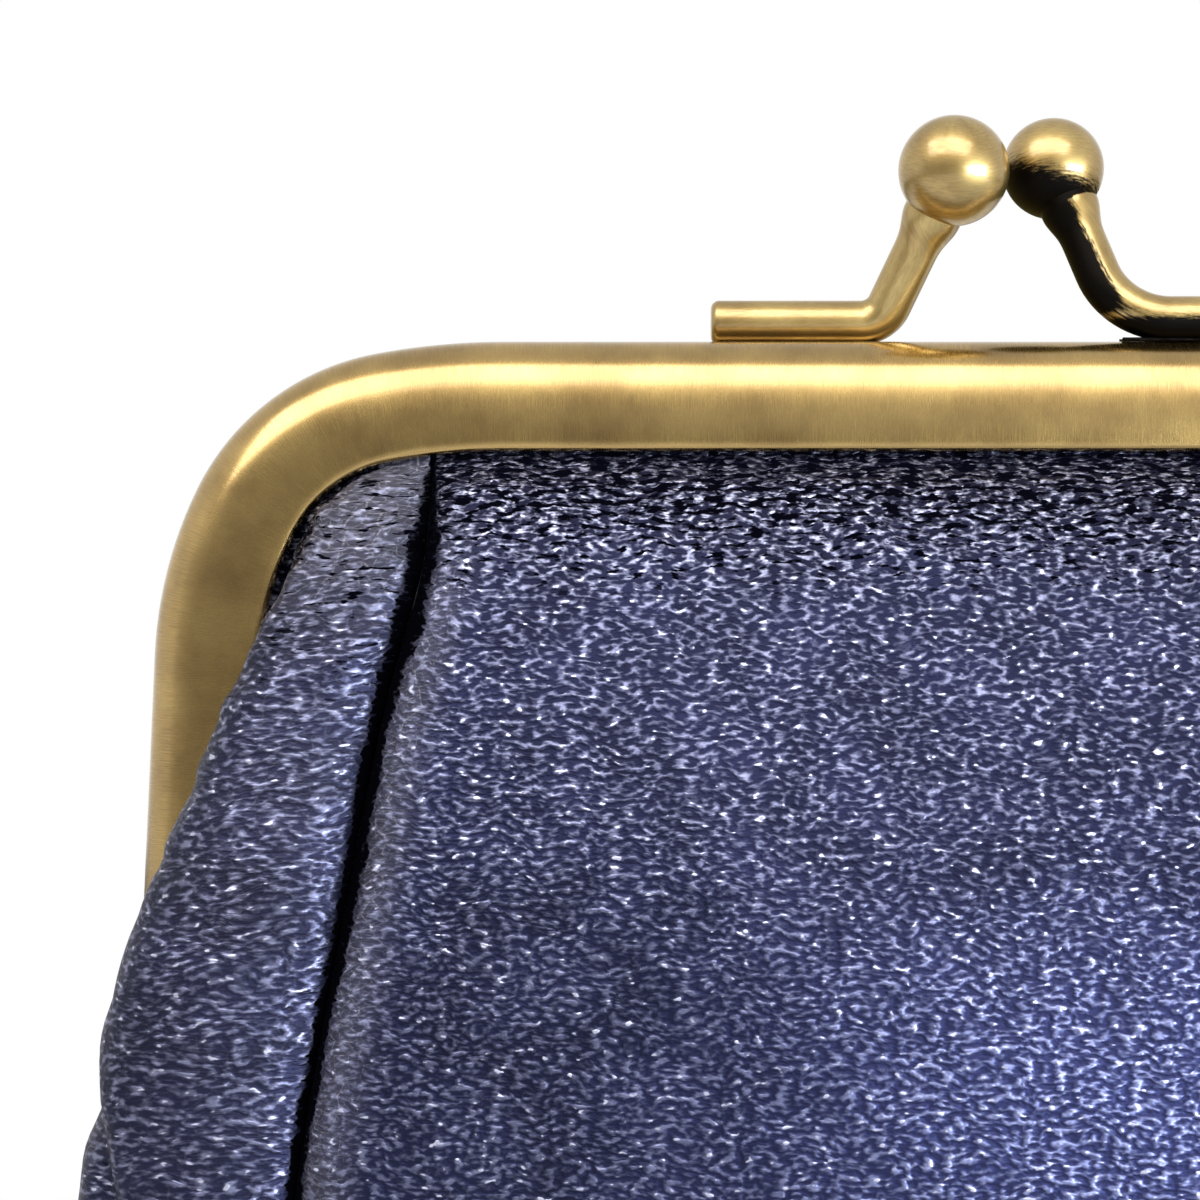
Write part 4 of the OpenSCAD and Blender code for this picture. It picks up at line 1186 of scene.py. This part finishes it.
def side_grid(seed):
    """A side piece's wall and its shade_and_wear, with its fold low down and its crinkles high up.
    """
    rows = [Level(d).side() for d in levels(0.011, LEATHER_ROWS)]
    grid = np.array(wall([mouth_row(rows[0])] + rows, 0), float)
    drop = FRAME_TOP - grid[..., 2]
    off_fold = (grid[..., 0] - at(drop, SIDE_FOLD)) / SIDE_FOLD_W
    fold = np.exp(-off_fold ** 2) * rise(drop, *SIDE_FOLD_STARTS) * (grid[..., 1] < -4)
    fold = fold * rise(drop, *SIDE_FOLD_ENDS)
    crinkle = waves(seed + 2, grid * (1, 1, 2.2), 4.5) * rise(drop, *CRINKLES_END)
    swell = (0.28 * waves(seed, grid, 15) + 0.10 * waves(seed + 1, grid * (1, 1, 1.6), 6)
             + 0.13 * crinkle)
    shift = swell * fade_at_edges(grid, 6, 6) - SIDE_FOLD_DEPTH * fold
    # Columns behind the crest turn back into the channel: a pocket, its brim and the tuck. The
    # pocket gets the painted shade and glints of wrinkled leather, the brim a line of painted
    # shade
    behind = np.arange(grid.shape[1]) - CREST_COLUMN
    pocket = ease((behind - 1) / 3) * rise(drop, *POCKET_END)
    tuck = ease((behind - 4) / 8) * at(drop, TUCK_WRINKLE)
    wrinkle = np.max([at(drop, SIDE_WRINKLE), 0.25 * fold, tuck, pocket], 0)
    worn = np.maximum(at(drop, SIDE_WORN), 0.85 * ease((behind + 6) / 8)) * (1 - pocket)
    brim = np.exp(-(behind - 2.0) ** 2) * at(drop, BRIM_SHADE)
    crease = np.maximum(crease_shade(grid, np.abs(grid[:, :1, 0])), brim)
    grid = grid + normals_of(grid) * shift[..., None]
    grid[..., 2] = np.maximum(grid[..., 2], ABOVE_FLOOR)
    return grid, np.stack([crease, wrinkle, worn], -1)


def lining_grid(seed):
    """A lining half's wall, turned under to the middle above the base board."""
    low = BASE_T + BOARD_T + BOARD_SLACK
    rows = [Level(d).lining_row() for d in levels(0.02, LINING_ROWS)]
    under = turned_under(rows[-1], LINING_POINTS - 1, -LINING_INSET, low, 8, LINING_SWEEP)
    flat = [(LINING_FLAT * x, -SEAM_GAP / 2, low) for x, _, _ in under[-1]]
    middle = [mix(np.array(a), np.array(b), 0.5) for a, b in zip(under[-1], flat)]
    rows = [tucked_up(rows[0], LINING_Y)] + rows + under + [middle, flat]
    grid = np.array(mirrored_rows(rows), float)
    swell = 0.45 * waves(seed, grid * (1, 1, 0.55), 13) + 0.16 * waves(seed + 1, grid, 5)
    return grid + normals_of(grid) * (swell * fade_at_edges(grid, 12, 8))[..., None]


for side, way in (("front", 1), ("rear", -1)):
    grid, shade_and_wear = panel_grid(11 + way, SHINE[side])
    soft_piece(f"{side}_panel_leather", grid, LEATHER_T, (1, way), LEATHER,
               [f"{side}_panel"], shade_and_wear)
    soft_piece(f"{side}_lining_cloth", lining_grid(31 + way), LINING_T, (1, way), LINING,
               [f"{side}_lining"])
    for hand, sign in (("left", -1), ("right", 1)):
        grid, shade_and_wear = side_grid(50 + 7 * way + 3 * sign)
        soft_piece(f"{side}_{hand}_side_leather", grid, LEATHER_T, (sign, way), LEATHER,
                   [f"{side}_{hand}_side"], shade_and_wear, SIDE_GRAIN)


# ---------- the base ----------


def stadium(inset, z, steps=24):
    """A loop on the base's outline."""
    r = BASE_R - inset
    ring = []
    for side, start in ((1, -90), (-1, 90)):
        ring += [(side * BASE_HALF + r * cosd(a), r * sind(a), z)
                 for a in np.linspace(start, start + 180, steps + 1)]
    return ring


def base_panel():
    """Leather with a rounded, turned-up edge."""
    # (inset, height) from the middle of the underside, over the rim, to the middle of the inside
    profile = [(BASE_R - 1.0, 0), (10, 0), (6, 0), (3, 0), (1.6, 0)]
    profile += [(BASE_EDGE_R * (1 - cosd(a)), BASE_EDGE_R * (1 - sind(a)))
                for a in (75, 60, 40, 20, 0)]
    profile += [(0, 1.6), (0, 2.4), (0.15, BASE_RIM_H - 0.1), (LEATHER_T / 2, BASE_RIM_H),
                (LEATHER_T - 0.1, BASE_RIM_H - 0.1), (LEATHER_T, 2.4), (LEATHER_T, BASE_T + 0.3),
                (LEATHER_T + 0.4, BASE_T), (6, BASE_T), (BASE_R - 1.0, BASE_T)]
    points, faces, _ = loft([stadium(inset, z) for inset, z in profile])
    piece = mesh_object("base_leather", points, faces, points[:, :2] / 10)
    return finish_piece(piece, "purse_body", ["base_panel"], LEATHER)


base_panel()
dress(frame["nodes"]["base_board"], BOARD)


# ---------- floor, light and camera ----------

FLOOR_HALF = 900
FLOOR_GREY = (0.86, 0.86, 0.86)
# The floor turns white to the camera between these distances from the purse, in half metres
WHITE_FROM, WHITE_TO = 0.24, 0.46
# Cool light that the floor throws up into the leather at the lower right, in metres
GLOW_PLACE = (0.16, -0.20, 0)
GLOW_COLOUR = (0.84, 0.90, 1.0)
GLOW_STRENGTH = 0.7
SIDE_LIGHT = (0.9, 0.9, 0.9)


def floor():
    """A pale floor that goes over into the white background away from the purse."""
    corners = [(-FLOOR_HALF, -FLOOR_HALF, 0), (FLOOR_HALF, -FLOOR_HALF, 0),
               (FLOOR_HALF, FLOOR_HALF, 0), (-FLOOR_HALF, FLOOR_HALF, 0)]
    piece = mesh_object("studio_floor", corners, [(0, 1, 2, 3)])
    material, n, shader, place = new_material("studio_floor", "Object")
    n.feed(shader, {"Base Color": FLOOR_GREY, "Roughness": 0.9})
    ray = n.add("ShaderNodeLightPath").outputs
    away = n.vectors("LENGTH", {0: place}, "Value")
    white = n.ramp(n.times(away, 2.0), {WHITE_FROM: 0.0, WHITE_TO: 1.0}, "EASE")
    beside = n.vectors("DISTANCE", {0: place, 1: GLOW_PLACE}, "Value")
    glow = n.ramp(beside, {0.05: 1.0, 0.30: 0.08}, "EASE")
    far_away = n.ramp(away, {0.25: 0.0, 0.60: 0.8})
    # Mirrored in the brass, the floor is dark but for the glow and what lies far away
    in_mirror = n.times(ray["Is Glossy Ray"], n.larger(glow, far_away))
    dim = n.add("ShaderNodeEmission", {"Color": GLOW_COLOUR,
                                       "Strength": n.times(glow, GLOW_STRENGTH)}).outputs[0]
    bright = n.add("ShaderNodeEmission", {"Color": WHITE, "Strength": 1.0}).outputs[0]
    near = n.add("ShaderNodeMixShader", {0: in_mirror, 1: shader.outputs[0], 2: dim}).outputs[0]
    whole = n.add("ShaderNodeMixShader", {0: n.times(white, ray["Is Camera Ray"]), 1: near,
                                          2: bright}).outputs[0]
    n.feed(material.node_tree.nodes["Material Output"], {0: whole})
    piece.data.materials.append(material)


def world():
    """A plain room, white to the camera: dim in front of the purse, brighter behind and beside."""
    scene_world = bpy.data.worlds.new("studio")
    bpy.context.scene.world = scene_world
    scene_world.use_nodes = True
    n = Nodes(scene_world.node_tree)
    way = n.add("ShaderNodeTexCoord").outputs["Generated"]
    right, back, up = n.add("ShaderNodeSeparateXYZ", {0: way}).outputs
    backward = n.plus(n.times(back, 0.5), 0.5)
    room = n.ramp(backward, {0.0: 0.20, 0.065: 0.28, 0.235: 0.55, 0.42: 0.90})
    room = n.mixed(1.0, room, n.ramp(up, {0.35: 1.0, 0.85: 0.60}), "MULTIPLY")
    beside = n.times(n.ramp(n.plus(right, 0.5), {0.42: 0.25, 0.58: 1.0}),
                     n.ramp(n.plus(up, 0.5), {0.48: 0.2, 0.62: 0.9, 0.85: 1.0, 1.0: 0.6}))
    room = n.mixed(n.times(beside, 0.7), room, SIDE_LIGHT, "LIGHTEN")
    ray = n.add("ShaderNodeLightPath").outputs
    in_mirror = n.larger(ray["Is Glossy Ray"], ray["Is Transmission Ray"])
    behind = n.ramp(backward, {0.30: 0.0, 0.42: 1.0}, "EASE")
    backdrop = n.times(n.times(in_mirror, behind), n.ramp(up, {0.25: 1.0, 0.80: 0.55}))
    white = n.larger(ray["Is Camera Ray"], backdrop)
    n.feed(scene_world.node_tree.nodes["Background"], {"Color": n.mixed(white, room, WHITE)})


LAMPS_FACE = (0, 0, 0.07)


def softbox(name, centre, size, power, colour=(1, 1, 1)):
    """An area lamp at a place in metres that faces the middle of the purse."""
    lamp = bpy.data.lights.new(name, "AREA")
    lamp.shape = "RECTANGLE"
    lamp.size, lamp.size_y = size
    lamp.energy = power
    lamp.color = colour
    piece = bpy.data.objects.new(name, lamp)
    bpy.context.scene.collection.objects.link(piece)
    piece.location = centre
    way = Vector(LAMPS_FACE) - Vector(centre)
    piece.rotation_euler = way.to_track_quat("-Z", "Y").to_euler()


# The camera as fitted to the photograph: focal length and width in its pixels, its distance in
# front of the meeting plane, and how far left of the middle and below the top it looks, in metres
FOCAL_PX, IMAGE_PX = 3302.6, 1200
CAMERA_Y = -0.251
CAMERA_X = -0.0307
CAMERA_BELOW_TOP = 0.0195
SENSOR_W = 36


def camera():
    """Straight on from the front, close to the upper left of the purse, as in the photograph."""
    data = bpy.data.cameras.new("camera")
    data.sensor_width = SENSOR_W
    data.lens = FOCAL_PX / IMAGE_PX * SENSOR_W
    data.clip_start = 0.01
    piece = bpy.data.objects.new("camera", data)
    piece.location = (CAMERA_X, CAMERA_Y, FRAME_TOP * MM - CAMERA_BELOW_TOP)
    piece.rotation_euler = (math.radians(90), 0, 0)
    bpy.context.scene.collection.objects.link(piece)
    bpy.context.scene.camera = piece


floor()
world()
softbox("key", (-0.15, -0.448, 0.633), (1.15, 0.48), 8.0)
softbox("low_right", (0.34, -0.36, 0.08), (0.40, 0.14), 3.5, (0.80, 0.88, 1.0))
camera()
bpy.context.scene.view_settings.view_transform = "Standard"
